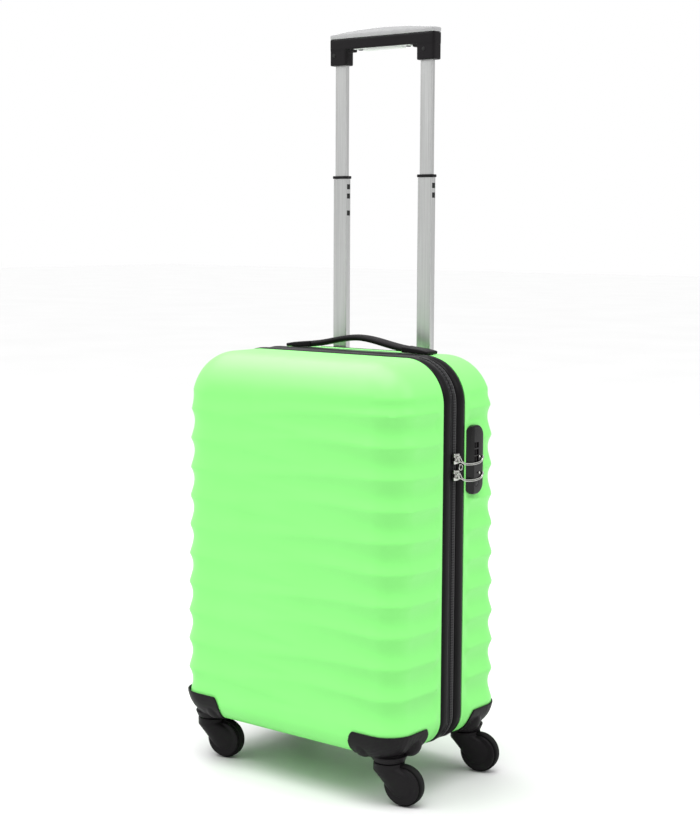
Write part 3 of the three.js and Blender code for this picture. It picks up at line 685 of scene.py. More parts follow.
# %% Frames, zip tapes and the zip's teeth
for half, body in (("front", "front_half"), ("rear", "case")):
    low, high = (corner.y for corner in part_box(half + "_frame"))
    band = wrap_strip(half + "_frame_moulding",
                      crowned(low + 0.1 * MM, high - 0.1 * MM, -0.6 * MM, 2.1 * MM, -4.6 * MM))
    fit_to(band, body, "trim", FRAME_BLACK, half + "_frame")
    low, high = (corner.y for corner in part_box("zip_tape_" + half))
    tape = wrap_strip(half + "_zip_cloth", crowned(low, high, -1.4 * MM, 0.5 * MM, -2.8 * MM, 4))
    fit_to(tape, body, "webbing", WEBBING, "zip_tape_" + half)
    meeting = high if half == "front" else low
    away = -1 if half == "front" else 1
    teeth = wrap_strip(half + "_zip_teeth", [
        (meeting + away * 0.1 * MM, -1.2 * MM), (meeting + away * 0.1 * MM, 0.3 * MM),
        (meeting + away * 1.2 * MM, 0.6 * MM), (meeting + away * 2.3 * MM, 0.2 * MM),
        (meeting + away * 2.5 * MM, -1.2 * MM)])
    fit_to(teeth, body, "webbing", WEBBING)

# %% [markdown]
# ## Simple blanks
# Most hard parts start as a cylinder or a block with bevelled edges.

# %% Cylinders and blocks with soft edges
def cylinder(name, centre, radius, length, axis="Z", segments=64, bevel=0.0, steps=3, end_radius=None):
    """A cylinder or a cone frustum along an axis. Both its rims can be rounded."""
    turn = {"X": (0, math.pi / 2, 0), "Y": (-math.pi / 2, 0, 0), "Z": (0, 0, 0)}[axis]
    bpy.ops.mesh.primitive_cone_add(vertices=segments, radius1=radius,
                                    radius2=radius if end_radius is None else end_radius,
                                    depth=length, location=centre, rotation=turn)
    piece = new_piece(name)
    if bevel:
        number = "XYZ".index(axis)
        edit(piece, "EDGE")
        pick(piece, lambda middle, along: abs(along[number]) < 1e-6, "EDGE")
        bpy.ops.mesh.bevel(offset=bevel, segments=steps, affect="EDGES")
        done()
    return piece


def block(name, low, high, bevel=0.0, steps=3):
    low, high = Vector(low), Vector(high)
    bpy.ops.mesh.primitive_cube_add(size=1, location=(low + high) / 2, scale=high - low)
    piece = new_piece(name)
    if bevel:
        edit(piece, "EDGE")
        bpy.ops.mesh.select_all(action="SELECT")
        bpy.ops.mesh.bevel(offset=bevel, segments=steps, affect="EDGES")
        done()
    return piece


def prism(name, outline, axis, low, high):
    """A flat outline pushed out along an axis. The outline lists the other two coordinates."""
    bpy.ops.mesh.primitive_circle_add(vertices=len(outline), radius=1, fill_type="NGON")
    piece = new_piece(name)
    number = "XYZ".index(axis)
    others = [n for n in range(3) if n != number]
    for corner, place in zip(piece.data.vertices, outline):
        where = [0.0, 0.0, 0.0]
        where[number] = low
        where[others[0]], where[others[1]] = place
        corner.co = where
    edit(piece)
    bpy.ops.mesh.select_all(action="SELECT")
    push = [0.0, 0.0, 0.0]
    push[number] = high - low
    bpy.ops.mesh.extrude_region_move(TRANSFORM_OT_translate={"value": push})
    bpy.ops.mesh.select_all(action="SELECT")
    bpy.ops.mesh.normals_make_consistent(inside=False)
    done()
    return piece


def combine(piece, other, operation="UNION"):
    modifier(piece, "BOOLEAN", operation=operation, object=other, solver="EXACT")
    bpy.data.objects.remove(other)
    return piece


def join(name, *pieces):
    """Puts loose pieces of one moulding into one object."""
    deselect_all()
    for piece in pieces:
        piece.select_set(True)
    bpy.context.view_layer.objects.active = pieces[0]
    bpy.ops.object.join()
    pieces[0].name = name
    return pieces[0]


# %% [markdown]
# ## Caster housings
# Each housing is a skin over the shell's lower corner, cut to two lobes that meet at the corner and
# dip between them. Under it a short neck reaches the fork. The skin is pressed like the shell, a
# little larger, and then made even and smoothed, so its edges are as soft as moulded plastic.

# %% One housing
def joint_place(name):
    """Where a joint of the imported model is, in metres."""
    return Vector(next(joint for joint in frame["joints"] if joint["name"] == name)["pos_m"])


LOBE_LENGTH = 70 * MM
LOBE_HEIGHT = 36 * MM
DIP_HEIGHT = 33 * MM
NECK_RADIUS = 19.3 * MM
LOBE_FOOT = 15 * MM
HOUSING_GRAIN = 1.0 * MM


def lobe_outline(corner_at, inwards, low, top, dip):
    """Seen square on: a rounded lobe end, and a top edge that dips towards the corner."""
    far = corner_at - inwards * 20 * MM
    end = corner_at + inwards * LOBE_LENGTH
    places = [(far, low), (end - inwards * 12 * MM, low)]
    middle = max((low + top) / 2, top - 21 * MM)
    for step in range(13):
        angle = -math.pi / 2 + math.pi * step / 12
        places.append((end - inwards * (14 - 14 * math.cos(angle)) * MM,
                       middle + (top - middle) * math.sin(angle)))
    for step in range(1, 9):
        share = step / 8
        fall = share * share * (3 - 2 * share)
        places.append((end + (corner_at - end) * (0.2 + 0.8 * share), top + (dip - top) * fall))
    places.append((far, dip))
    return places


def pressed_skin(name, direction, rim, reach, grow):
    """The shell's own surface without its grooves, moved out, and closed across the rim."""
    sheet = press_sheet(name, direction, rim, reach, grow, 70, 110, 8, 12)
    count = len(sheet.data.vertices)
    places, normals = np.zeros(count * 3), np.zeros(count * 3)
    sheet.data.vertices.foreach_get("co", places)
    sheet.data.vertices.foreach_get("normal", normals)
    places, normals = places.reshape(-1, 3), normals.reshape(-1, 3)
    swell = SWELL * (1 - np.abs(normals[:, 2]))
    swell *= ease(np.abs(places[:, 1] - rim), 3 * MM, RIM_FADE + 3 * MM)
    sheet.data.vertices.foreach_set("co", (places + normals * swell[:, None]).ravel())
    edit(sheet, "EDGE")
    bpy.ops.mesh.select_all(action="SELECT")
    bpy.ops.mesh.region_to_loop()
    bpy.ops.mesh.edge_face_add()
    done()
    return clean(sheet)


def caster_housing(corner):
    direction, side = (-1 if "front" in corner else 1), (-1 if "left" in corner else 1)
    rim, reach = (FRONT_RIM, FRONT_REACH) if direction < 0 else (REAR_RIM, REAR_REACH)
    axis_x, axis_y, fork_top = joint_place("swivel_" + corner)
    body = pressed_skin("housing_" + corner, direction, rim, reach, 2.3 * MM)
    combine(body, pressed_skin("housing_inside", direction, rim, reach, 0.2 * MM), "DIFFERENCE")
    low, top, dip = BOTTOM - 8 * MM, BOTTOM + LOBE_HEIGHT, BOTTOM + DIP_HEIGHT
    corner_x, corner_y = CENTRE_X + side * (HALF_WIDTH + SWELL), rim + direction * (reach + SWELL)
    spans = sorted((corner_y - direction * 110 * MM, corner_y + direction * 30 * MM))
    combine(body, prism("frontal", lobe_outline(corner_x, -side, low, top, dip), "Y", *spans),
            "INTERSECT")
    spans = sorted((corner_x - side * 110 * MM, corner_x + side * 30 * MM))
    combine(body, prism("lateral", lobe_outline(corner_y, -direction, low, top, dip), "X", *spans),
            "INTERSECT")
    neck_top = BOTTOM + 4 * MM
    neck_low = fork_top + 0.5 * MM
    for x, y in ((corner_x - side * (LOBE_LENGTH - 16 * MM), corner_y - direction * LOBE_FOOT),
                 (corner_x - side * LOBE_FOOT, corner_y - direction * (LOBE_LENGTH - 20 * MM))):
        bpy.ops.mesh.primitive_uv_sphere_add(segments=32, ring_count=20, radius=LOBE_FOOT,
                                             location=(x, y, BOTTOM + LOBE_FOOT))
        combine(body, new_piece("lobe_foot"))
    neck = cylinder("neck", (axis_x, axis_y, (neck_low + neck_top) / 2), NECK_RADIUS,
                    neck_top - neck_low, end_radius=NECK_RADIUS + 3 * MM)
    combine(body, neck)
    soften(body, HOUSING_GRAIN, 5, 0.5)
    rides = "front_half" if direction < 0 else "case"
    return fit_to(smooth(body, 60), rides, "trim", SOFT_BLACK, "caster_housing_" + corner)


CORNERS = ("front_left", "front_right", "rear_left", "rear_right")
for corner in CORNERS:
    caster_housing(corner)

# %% [markdown]
# ## Forks and wheels
# A fork is one soft moulding: a round stem that slants down into two round cheeks. Its outside is the
# tight skin round the stem and the cheeks. They are made about the swivel's axis, with the wheel
# trailing along X, and are then turned and set down in their corner.

# %% One fork and its wheel
STEM_RADIUS = 18.9 * MM
CHEEK_RADIUS = 22.3 * MM
HEEL_RADIUS = 16.5 * MM
FORK_WIDTH = 19 * MM
WHEEL_RADIUS = 24.9 * MM
TYRE_WIDTH = 11 * MM
WHEEL_ROOM = 26.2 * MM
ROOM_WIDTH = 12.6 * MM


def set_down(piece, place, turn):
    """Turns a piece about the Z axis and moves it to its place."""
    take(piece)
    piece.rotation_euler = (0, 0, turn)
    piece.location = place
    bpy.ops.object.transform_apply(location=True, rotation=True, scale=False)
    return piece


def make_caster(corner):
    swivel, roll = joint_place("swivel_" + corner), joint_place("roll_" + corner)
    offset = roll - swivel
    turn = math.atan2(offset.y, offset.x)
    trail = math.hypot(offset.x, offset.y)
    axle, top = roll.z, swivel.z
    ground = Vector((swivel.x, swivel.y, 0))

    stem = cylinder("stem", (0, 0, top - 6 * MM), STEM_RADIUS, 11 * MM, bevel=0.8 * MM)
    slant = cylinder("slant", (0, 0, top - 8 * MM), STEM_RADIUS, 5 * MM, segments=40)
    heel = cylinder("heel", (trail, 0, axle + 1 * MM), HEEL_RADIUS, FORK_WIDTH, "Y", 40,
                    bevel=2 * MM)
    shank = join("fork_" + corner, slant, heel)
    edit(shank)
    bpy.ops.mesh.select_all(action="SELECT")
    bpy.ops.mesh.convex_hull()
    done()
    combine(shank, stem)
    combine(shank, cylinder("cheeks", (trail, 0, axle), CHEEK_RADIUS, FORK_WIDTH, "Y", 72,
                            bevel=1.6 * MM))
    combine(shank, cylinder("room", (trail, 0, axle), WHEEL_ROOM, ROOM_WIDTH, "Y", 72), "DIFFERENCE")
    soften(shank, 0.75 * MM, 6, 0.5)
    set_down(smooth(shank, 50), ground, turn)
    fit_to(shank, "caster_" + corner, "trim", SOFT_BLACK, "caster_fork_" + corner)

    for side in (-1, 1):
        cap = cylinder("fork_cap", (trail, side * (FORK_WIDTH / 2 + 0.1 * MM), axle), 13 * MM, 1.2 * MM, "Y",
                       bevel=0.5 * MM)
        set_down(smooth(cap), ground, turn)
        cap.name = f"axle_cap_{corner}_{'outer' if side < 0 else 'inner'}"
        fit_to(cap, "caster_" + corner, "trim", SOFT_BLACK)

    tyre = cylinder("tyre_" + corner, (trail, 0, axle), WHEEL_RADIUS, TYRE_WIDTH, "Y", 96,
                    bevel=2.0 * MM, steps=5)
    combine(tyre, cylinder("hub_room", (trail, 0, axle), 17.6 * MM, 30 * MM, "Y", 96), "DIFFERENCE")
    set_down(smooth(tyre, 50), ground, turn)
    fit_to(tyre, "wheel_" + corner, "tyre", TYRE_BLACK, "wheel_tyre_" + corner)
    hub = cylinder("hub_" + corner, (trail, 0, axle), 17.4 * MM, TYRE_WIDTH - 0.6 * MM, "Y", 96,
                   bevel=0.5 * MM)
    combine(hub, cylinder("bore", (trail, 0, axle), 3.2 * MM, 30 * MM, "Y", 32), "DIFFERENCE")
    set_down(smooth(hub, 40), ground, turn)
    fit_to(hub, "wheel_" + corner, "trim", SOFT_BLACK, "wheel_hub_" + corner)


for corner in CORNERS:
    make_caster(corner)

# %% [markdown]
# ## Telescopic handle
# The tubes are drawn aluminium with rounded corners. The middle tubes carry a row of lock holes
# on their outer faces, each darkened by a near-black sheet of painted shade, and a black collar closes the
# top of each.

# %% Tubes and collars
TUBE_WALL = 1.1 * MM
TUBE_STAGES = (("outer_tube_", "case", 2.0 * MM), ("middle_tube_", "middle_stage", 1.7 * MM),
               ("inner_tube_", "upper_stage", 1.4 * MM))
LOCK_HOLE_DROPS = {"left": (10, 22, 44), "right": (10, 22)}
LOCK_HOLE_REACH = Vector((3, 3.2, 3.3)) * MM
HOLE_SHADE_DEPTH = 0.9 * MM
HOLE_SHADE_HALF = 0.4 * MM
COLLAR_ROUNDING = 3.0 * MM
BORE_ROUNDING = 2.6 * MM
PAST = 5 * MM


def tube(name, node, corner_radius):
    """An open rectangular tube in the box of its node."""
    low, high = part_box(node)
    outside = rounded_block(name, low, high, corner_radius, 5)
    wall = Vector((TUBE_WALL, TUBE_WALL, 0))
    over = Vector((0, 0, PAST))
    subtract(outside, rounded_block("bore", low + wall - over, high - wall + over,
                                    corner_radius * 0.5, 3))
    return outside, low, high


for side in ("left", "right"):
    for node, body, rounding in TUBE_STAGES:
        piece, low, high = tube(node.replace("_", "_alu_") + side, node + side, rounding)
        if node == "middle_tube_":
            for drop in LOCK_HOLE_DROPS[side]:
                centre = Vector((high.x, (low.y + high.y) / 2, high.z - drop * MM))
                reach = LOCK_HOLE_REACH.copy()
                subtract(piece, block("hole", centre - reach, centre + reach, 0.4 * MM, 2))
                # A thin near-black sheet just inside each hole is painted shade.
                centre.x -= HOLE_SHADE_DEPTH
                reach.x = HOLE_SHADE_HALF
                painted_hole_shade = block(f"{side}_lock_hole_shade_{drop}", centre - reach, centre + reach)
                fit_to(painted_hole_shade, "middle_stage", "trim", PAINTED_SHADE)
        fit_to(smooth(piece, 35), body, "tube", ALUMINIUM, node + side)
    low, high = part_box("middle_collar_" + side)
    collar = rounded_block("collar_" + side, low, high, COLLAR_ROUNDING, 6)
    edit(collar, "EDGE")
    pick(collar, lambda middle, along: abs(along.z) < 1e-6, "EDGE")
    bpy.ops.mesh.bevel(offset=0.7 * MM, segments=2, affect="EDGES")
    done()
    inner_low, inner_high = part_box("inner_tube_" + side)
    slack = Vector((0.3, 0.3, 0)) * MM
    subtract(collar, rounded_block("collar_bore", Vector((*inner_low.xy, low.z - 0.01)) - slack,
                                   Vector((*inner_high.xy, high.z + 0.01)) + slack, BORE_ROUNDING, 4))
    fit_to(smooth(collar, 40), "middle_stage", "trim", SOFT_BLACK, "middle_collar_" + side)

# %% [markdown]
# ## Grip
# The black body is one moulding: a bar with two sockets that wrap the tubes. The silver cap arches
# over it. A pale plate with two screws closes the underside, and the release button sits in it.

# %% Grip body, cap and button
GRIP_ROUNDING = 3.6 * MM
SOCKET_ROUNDING = 3.4 * MM
SOCKET_INWARDS = 12.5 * MM
SOCKET_SCREW_SHIFT = {"left": -7.5 * MM, "right": -1 * MM}
SOCKET_SCREW_HEIGHT = 13 * MM
CAP_END_HEIGHT = 5.6 * MM
ARCH_STEPS = 24
PLATE_HALF_LENGTH = 45 * MM
PLATE_SCREW_SPREAD = 38 * MM

grip_low, grip_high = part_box("grip_body")
cap_low, cap_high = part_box("grip_cap")
grip_y = (grip_low.y + grip_high.y) / 2
half_span = (grip_high.x - grip_low.x) / 2
tube_x = (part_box("inner_tube_right")[0].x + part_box("inner_tube_right")[1].x) / 2 - CENTRE_X

body_low, body_high = Vector(grip_low), Vector(grip_high)
body_low.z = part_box("grip_button")[0].z + 3 * MM
grip = rounded_block("grip_moulding", body_low, body_high, GRIP_ROUNDING, 6)
for side in (-1, 1):
    middle = CENTRE_X + side * tube_x
    outer, inner = side * (half_span - 0.3 * MM), side * (tube_x - SOCKET_INWARDS)
    low_x, high_x = sorted((CENTRE_X + outer, CENTRE_X + inner))
    socket = rounded_block("socket", (low_x, grip_low.y + 0.2 * MM, grip_low.z),
                           (high_x, grip_high.y - 0.2 * MM, grip_high.z - 1 * MM), SOCKET_ROUNDING, 6)
    combine(grip, socket)
    gusset_x = CENTRE_X + side * (tube_x - 15 * MM)
    low_x, high_x = sorted((CENTRE_X + inner, gusset_x - side * 4 * MM))
    combine(grip, block("gusset", (low_x - 1 * MM, grip_low.y + 3 * MM, body_low.z - 3.5 * MM),
                        (high_x + 1 * MM, grip_high.y - 3 * MM, body_low.z + 2 * MM)))
soften(grip, 0.8 * MM, 5, 0.5)
for side in ("left", "right"):
    low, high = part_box("inner_tube_" + side)
    slack = Vector((0.25, 0.25, 0)) * MM
    subtract(grip, rounded_block("socket_room", low - slack, high + slack, BORE_ROUNDING, 4))
    screw_x = (low.x + high.x) / 2 + SOCKET_SCREW_SHIFT[side]
    subtract(grip, cylinder("screw_room", (screw_x, grip_low.y, grip_low.z + SOCKET_SCREW_HEIGHT),
                            2.1 * MM, 3 * MM, "Y", 24))
button_low, button_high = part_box("grip_button")
room = Vector((0.3, 0.3, 0.3)) * MM
subtract(grip, block("button_room", button_low - room - Vector((0, 0, 5 * MM)), button_high + room))
fit_to(smooth(grip, 40), "upper_stage", "trim", SOFT_BLACK, "grip_body")

for side in ("left", "right"):
    low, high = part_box("inner_tube_" + side)
    screw_x = (low.x + high.x) / 2 + SOCKET_SCREW_SHIFT[side]
    screw_z = grip_low.z + SOCKET_SCREW_HEIGHT
    screw = cylinder("socket_screw_" + side, (screw_x, grip_low.y + 1.1 * MM, screw_z),
                     2.5 * MM, 3 * MM, "Y", 24, bevel=0.3 * MM)
    # The screw head is painted near-black as the shade in its recess.
    fit_to(smooth(screw), "upper_stage", "steel", PAINTED_SHADE)

arch = [(CENTRE_X - half_span, cap_low.z), (CENTRE_X + half_span, cap_low.z)]
cap_rise = cap_high.z - cap_low.z - CAP_END_HEIGHT
for step in range(ARCH_STEPS + 1):
    share = 1 - 2 * step / ARCH_STEPS
    arch.append((CENTRE_X + share * half_span,
                 cap_low.z + CAP_END_HEIGHT + cap_rise * (1 - share ** 2)))
cap = prism("grip_silver_cap", arch, "Y", grip_low.y - PAST, grip_high.y + PAST)
combine(cap, rounded_block("plan", (grip_low.x, grip_low.y, cap_low.z - 1 * MM),
                           (grip_high.x, grip_high.y, cap_high.z + PAST), GRIP_ROUNDING, 8),
        "INTERSECT")
modifier(cap, "BEVEL", width=1.1 * MM, segments=3, limit_method="ANGLE", angle_limit=math.radians(50))
fit_to(smooth(cap, 40), "upper_stage", "silver_cap", SILVER_CAP, "grip_cap")

plate = block("grip_plate", (CENTRE_X - PLATE_HALF_LENGTH, grip_low.y + 2 * MM, body_low.z - 0.9 * MM),
              (CENTRE_X + PLATE_HALF_LENGTH, grip_high.y - 2 * MM, body_low.z + 0.4 * MM),
              0.5 * MM, 2)
subtract(plate, block("button_gap", button_low - room - Vector((0, 0, 5 * MM)), button_high + room))
fit_to(smooth(plate), "upper_stage", "silver_cap", PALE_PLATE)
for side in (-1, 1):
    screw = cylinder("plate_screw_" + ("left" if side < 0 else "right"),
                     (CENTRE_X + side * PLATE_SCREW_SPREAD, grip_y, body_low.z - 1.2 * MM),
                     3.1 * MM, 1.4 * MM, segments=32, bevel=0.5 * MM)
    # The screw head is painted near-black as painted shade.
    fit_to(smooth(screw), "upper_stage", "steel", PAINTED_SHADE)
button = block("release_button", button_low, button_high, 1.4 * MM, 4)
fit_to(smooth(button, 40), "grip_button", "silver_cap", PALE_PLATE, "grip_button")

# %% [markdown]
# ## Strap handle
# A moulded strap: an arch with a crowned section, and a flat cap at each end that lies on the case.

# %% Arch and end caps
strap_low, strap_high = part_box("carry_handle")
STRAP_STEPS = 48
STRAP_SECTION = 24
STRAP_THICKNESS = 8.4 * MM
STRAP_FILL = 0.95
SECTION_POWER = 0.45


def strap_level(share):
    """Height of the arch's middle line, along the strap from -1 to 1."""
    level = abs(share)
    rise = (1 + math.cos(math.pi * min(level * 1.02, 1))) / 2 * 0.55 + 0.45 * (1 - level ** 1.6)
    base = strap_low.z + 3.9 * MM
    crest = strap_high.z - 4.2 * MM
    return base + (crest - base) * rise


bpy.ops.mesh.primitive_cylinder_add(vertices=STRAP_SECTION, radius=1, depth=2,
                                    rotation=(0, math.pi / 2, 0))
strap = new_piece("moulded_strap")
edit(strap, "EDGE")
pick(strap, lambda middle, along: abs(along.x) > 1.9, "EDGE")
bpy.ops.mesh.subdivide(number_cuts=STRAP_STEPS - 1)
done()
half_strap = (strap_high.x - strap_low.x) / 2
strap_y = (strap_low.y + strap_high.y) / 2
half_width = (strap_high.y - strap_low.y) / 2
for point in strap.data.vertices:
    share, across, up = point.co
    squareness = max(abs(across), abs(up)) ** SECTION_POWER
    narrow = 1 - 0.08 * math.cos(share * math.pi / 2)
    point.co = (CENTRE_X + share * half_strap,
                 strap_y + across / squareness * half_width * STRAP_FILL * narrow,
                 strap_level(share) + up / squareness * STRAP_THICKNESS / 2 * STRAP_FILL)
smooth(clean(strap), 40)
fit_to(strap, "case", "soft_black", SOFT_BLACK, "carry_handle")

for side in ("left", "right"):
    low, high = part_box("carry_handle_end_" + side)
    inwards = 1 if side == "left" else -1
    inner, outer = (high.x, low.x) if side == "left" else (low.x, high.x)
    outline = [(outer, low.z + 0.5 * MM), (outer, low.z + 4.5 * MM),
               (outer + inwards * 14 * MM, low.z + 6.8 * MM),
               (inner - inwards * 6 * MM, high.z - 0.6 * MM),
               (inner + inwards * 1.5 * MM, high.z + 0.2 * MM),
               (inner + inwards * 1.5 * MM, low.z + 1.6 * MM)]
    cap = prism("strap_end_" + side, outline, "Y", low.y, high.y)
    modifier(cap, "BEVEL", width=1.3 * MM, segments=4, limit_method="ANGLE",
             angle_limit=math.radians(30))
    fit_to(smooth(cap, 40), "case", "soft_black", SOFT_BLACK, "carry_handle_end_" + side)

# %% [markdown]
# ## Lock
# A gloss black capsule on the side, with a wide chamfer towards the zip, three dials behind windows
# and a release button.

# %% Lock body, dials and button
THROUGH = 0.01
END_ROUNDNESS = 0.86
END_STEPS = 12
CHAMFER_START = 0.30
DIAL_NOTCHES = 10

lock_low, lock_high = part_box("lock_body")
lock_y = (lock_low.y + lock_high.y) / 2
capsule = []
half_wide, half_long = (lock_high.y - lock_low.y) / 2, (lock_high.z - lock_low.z) / 2
lock_z = (lock_low.z + lock_high.z) / 2
end_radius = half_wide * END_ROUNDNESS
for centre_y, centre_z, first in ((1, 1, 0), (-1, 1, 90), (-1, -1, 180), (1, -1, 270)):
    for step in range(END_STEPS + 1):
        angle = math.radians(first + step * 90 / END_STEPS)
        capsule.append((lock_y + centre_y * (half_wide - end_radius) + end_radius * math.cos(angle),
                        lock_z + centre_z * (half_long - end_radius) + end_radius * math.sin(angle)))
lock = prism("lock_capsule", capsule, "X", lock_low.x, lock_high.x)
clean(lock)
edit(lock, "EDGE")
top_x = lock_high.x
pick(lock, lambda middle, along: abs(middle.x - top_x) < 1e-6, "EDGE")
bpy.ops.mesh.bevel(offset=2.2 * MM, segments=5, affect="EDGES")
done()
edit(lock)
bpy.ops.mesh.select_all(action="SELECT")
bpy.ops.mesh.bisect(plane_co=(lock_high.x, lock_y - half_wide * CHAMFER_START, lock_z),
                    plane_no=(0.80, -0.60, 0), use_fill=True, clear_outer=True)
done()
modifier(lock, "BEVEL", width=0.7 * MM, segments=3, limit_method="ANGLE",
         angle_limit=math.radians(25))
for number in (1, 2, 3):
    low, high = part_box(f"lock_dial_{number}")
    gap = Vector((0, 0.35, 0.35)) * MM
    gap.x = THROUGH
    subtract(lock, block("dial_window", low - gap, high + gap))
low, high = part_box("lock_button")
middle = (low + high) / 2
button_radius = (high.z - low.z) / 2
subtract(lock, cylinder("button_room", (lock_high.x, middle.y, middle.z), button_radius + 0.3 * MM,
                        2 * (lock_high.x - low.x) + 0.6 * MM, "X", 48))
fit_to(smooth(lock, 40), "case", "trim_gloss", GLOSS_BLACK, "lock_body")

button = cylinder("lock_release", middle, button_radius, high.x - low.x, "X", 48, bevel=0.5 * MM)
fit_to(smooth(button, 40), "lock_button", "trim_gloss", GLOSS_BLACK, "lock_button")
for number in (1, 2, 3):
    low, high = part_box(f"lock_dial_{number}")
    middle = (low + high) / 2
    dial = cylinder(f"number_dial_{number}", middle, (high.x - low.x) / 2, high.z - low.z, "Z", 60,
                    bevel=0.3 * MM)
    radius = (high.x - low.x) / 2
    for notch in range(DIAL_NOTCHES):
        angle = 2 * math.pi * (notch + 0.5) / DIAL_NOTCHES
        place = middle + Vector((math.cos(angle), math.sin(angle), 0)) * radius * 1.04
        subtract(dial, cylinder("notch", place, 0.55 * MM, high.z - low.z + 2 * MM, "Z", 10))
    fit_to(smooth(dial, 35), f"lock_dial_{number}", "trim", SOFT_BLACK, f"lock_dial_{number}")

# %% [markdown]
# ## Zip sliders and wire pulls
# Each slider is a bright little casting with two ears. Its pull is a narrow closed loop of wire that
# starts between the ears, sags and lies over the lock, with a bead near its end. A small ring hangs
# between the two sliders.

# %% Sliders and pulls
WIRE_RADIUS = 0.65 * MM
PULL_GAP = 1.7 * MM
PULL_DROP = 2.6 * MM
EYE_HALF = 1.7 * MM


def wire(name, points, radius, closed=False):
    """Round wire through a list of points."""
    bpy.ops.curve.primitive_bezier_curve_add()
    made = bpy.context.object
    spline = made.data.splines[0]
    spline.bezier_points.add(len(points) - 2)
    for point, place in zip(spline.bezier_points, points):
        point.co = place
        point.handle_left_type = point.handle_right_type = "AUTO"
    spline.use_cyclic_u = closed
    made.data.bevel_depth = radius
    made.data.bevel_resolution = 4
    made.data.resolution_u = 10
    take(made)
    bpy.ops.object.convert(target="MESH")
    made = bpy.context.object
    made.name = name
    clean(made)
    return smooth(made, 60)


for level in ("upper", "lower"):
    low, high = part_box("zip_slider_" + level)
    middle = (low + high) / 2
    casting = block("slider_base", (low.x, low.y, low.z), (high.x - 4.4 * MM, high.y, high.z), 1.3 * MM, 4)
    waist = Vector((9, 1.6, 2.4)) * MM
    for side in (-1, 1):
        notch = Vector((middle.x, middle.y + side * 6.3 * MM, middle.z))
        combine(casting, block("notch", notch - waist, notch + waist, 0.8 * MM, 2), "DIFFERENCE")
    for side in (-1, 1):
        ear = middle.z + side * 3.2 * MM
        combine(casting, cylinder("ear", (high.x - 2.2 * MM, middle.y, ear), 2.1 * MM, 1.3 * MM, "Z", 32,
                                  bevel=0.3 * MM))
        combine(casting, block("ear_root", (high.x - 5.2 * MM, middle.y - 1.9 * MM, ear - 0.65 * MM),
                               (high.x - 2.2 * MM, middle.y + 1.9 * MM, ear + 0.65 * MM)))
    casting.name = "slider_casting_" + level
    fit_to(smooth(casting, 35), "zip_slider_" + level, "zinc", ZINC, "zip_slider_" + level)

    pull_low, pull_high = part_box("zip_pull_" + level)
    face = (pull_low.x + pull_high.x) / 2
    start, end = pull_low.y + 1.6 * MM, pull_high.y
    sag = (pull_low.z + pull_high.z) / 2 - PULL_DROP - middle.z
    half = PULL_GAP / 2
    end_z = middle.z - 1.2 * MM
    rows = [(start + 6 * MM, 0.6), (start + 12 * MM, 1.0), (start + 20 * MM, 1.2),
            (end - 16 * MM, 1.3), (end - 7 * MM, 1.15), (end - 2 * MM, 0.75)]
    upper_side = [(face, y, middle.z + sag * drop + half) for y, drop in rows]
    lower_side = [(face, y, middle.z + sag * drop - half) for y, drop in reversed(rows)]
    points = ([(face, start, middle.z + EYE_HALF)] + upper_side + [(face, end - 0.8 * MM, end_z)]
              + lower_side + [(face, start, middle.z - EYE_HALF)])
    pull = wire("wire_pull_" + level, points, WIRE_RADIUS, closed=True)
    bpy.ops.mesh.primitive_uv_sphere_add(segments=20, ring_count=12, radius=1.4 * MM,
                                         location=(face, end - 9 * MM, end_z))
    bead = new_piece("bead")
    pull = join("wire_pull_" + level, pull, smooth(bead, 60))
    fit_to(pull, "zip_pull_" + level, "zinc", ZINC, "zip_pull_" + level)

low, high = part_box("zip_slider_upper")
ring_place = Vector((high.x - 3.2 * MM, (low.y + high.y) / 2 + 5.6 * MM,
                     (low.z + high.z) / 2 - 10.5 * MM))
bpy.ops.mesh.primitive_torus_add(major_radius=3.4 * MM, minor_radius=0.6 * MM, major_segments=48,
                                 minor_segments=12, location=ring_place, rotation=(0, math.pi / 2, 0))
fit_to(smooth(new_piece("slider_ring"), 60), "zip_slider_upper", "zinc", ZINC)

# %% [markdown]
# ## Inside
# The front lining is a cloth sheet pressed to the shell and the rear one a band of cloth round its wall.
# A divider closes the front half, two webbing straps meet at a buckle, and a cover hides the tubes.

# %% Linings and handle cover
CLOTH_THICKNESS = 0.8 * MM
REAR_CLOTH_GRAIN = 1.44 * MM

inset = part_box("front_shell")[0].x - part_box("front_lining")[0].x
front_cloth = press_sheet("front_cloth_lining", -1, FRONT_RIM, FRONT_REACH, inset, 70, 90, 8, 10)
modifier(front_cloth, "SOLIDIFY", thickness=CLOTH_THICKNESS, offset=-1)
fit_to(smooth(front_cloth, 50), "front_half", "lining", LINING, "front_lining")
rear_cloth = soften(copied_node("rear_lining", "rear_cloth_lining"), REAR_CLOTH_GRAIN, 3, 0.5)
fit_to(smooth(rear_cloth, 60), "case", "lining", LINING, "rear_lining")
cover = copied_node("handle_cover", "channel_cloth_cover")
modifier(cover, "BEVEL", width=0.5 * MM, segments=2, limit_method="ANGLE", angle_limit=math.radians(40))
fit_to(smooth(cover, 40), "case", "lining", LINING, "handle_cover")

# %% Divider, straps and buckle
low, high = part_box("divider_panel")
inset = HALF_WIDTH - (high.x - low.x) / 2
panel = prism("divider_cloth", walk_outline(-inset)[:-1], "Y", low.y, high.y)
clean(panel)
edit(panel)
pick(panel, lambda middle, normal: abs(normal.y) > 0.9)
bpy.ops.mesh.inset(thickness=9 * MM)
bpy.ops.mesh.inset(thickness=1.2 * MM, depth=0.5 * MM)
done()
fit_to(smooth(panel, 30), "front_half", "lining", LINING, "divider_panel")

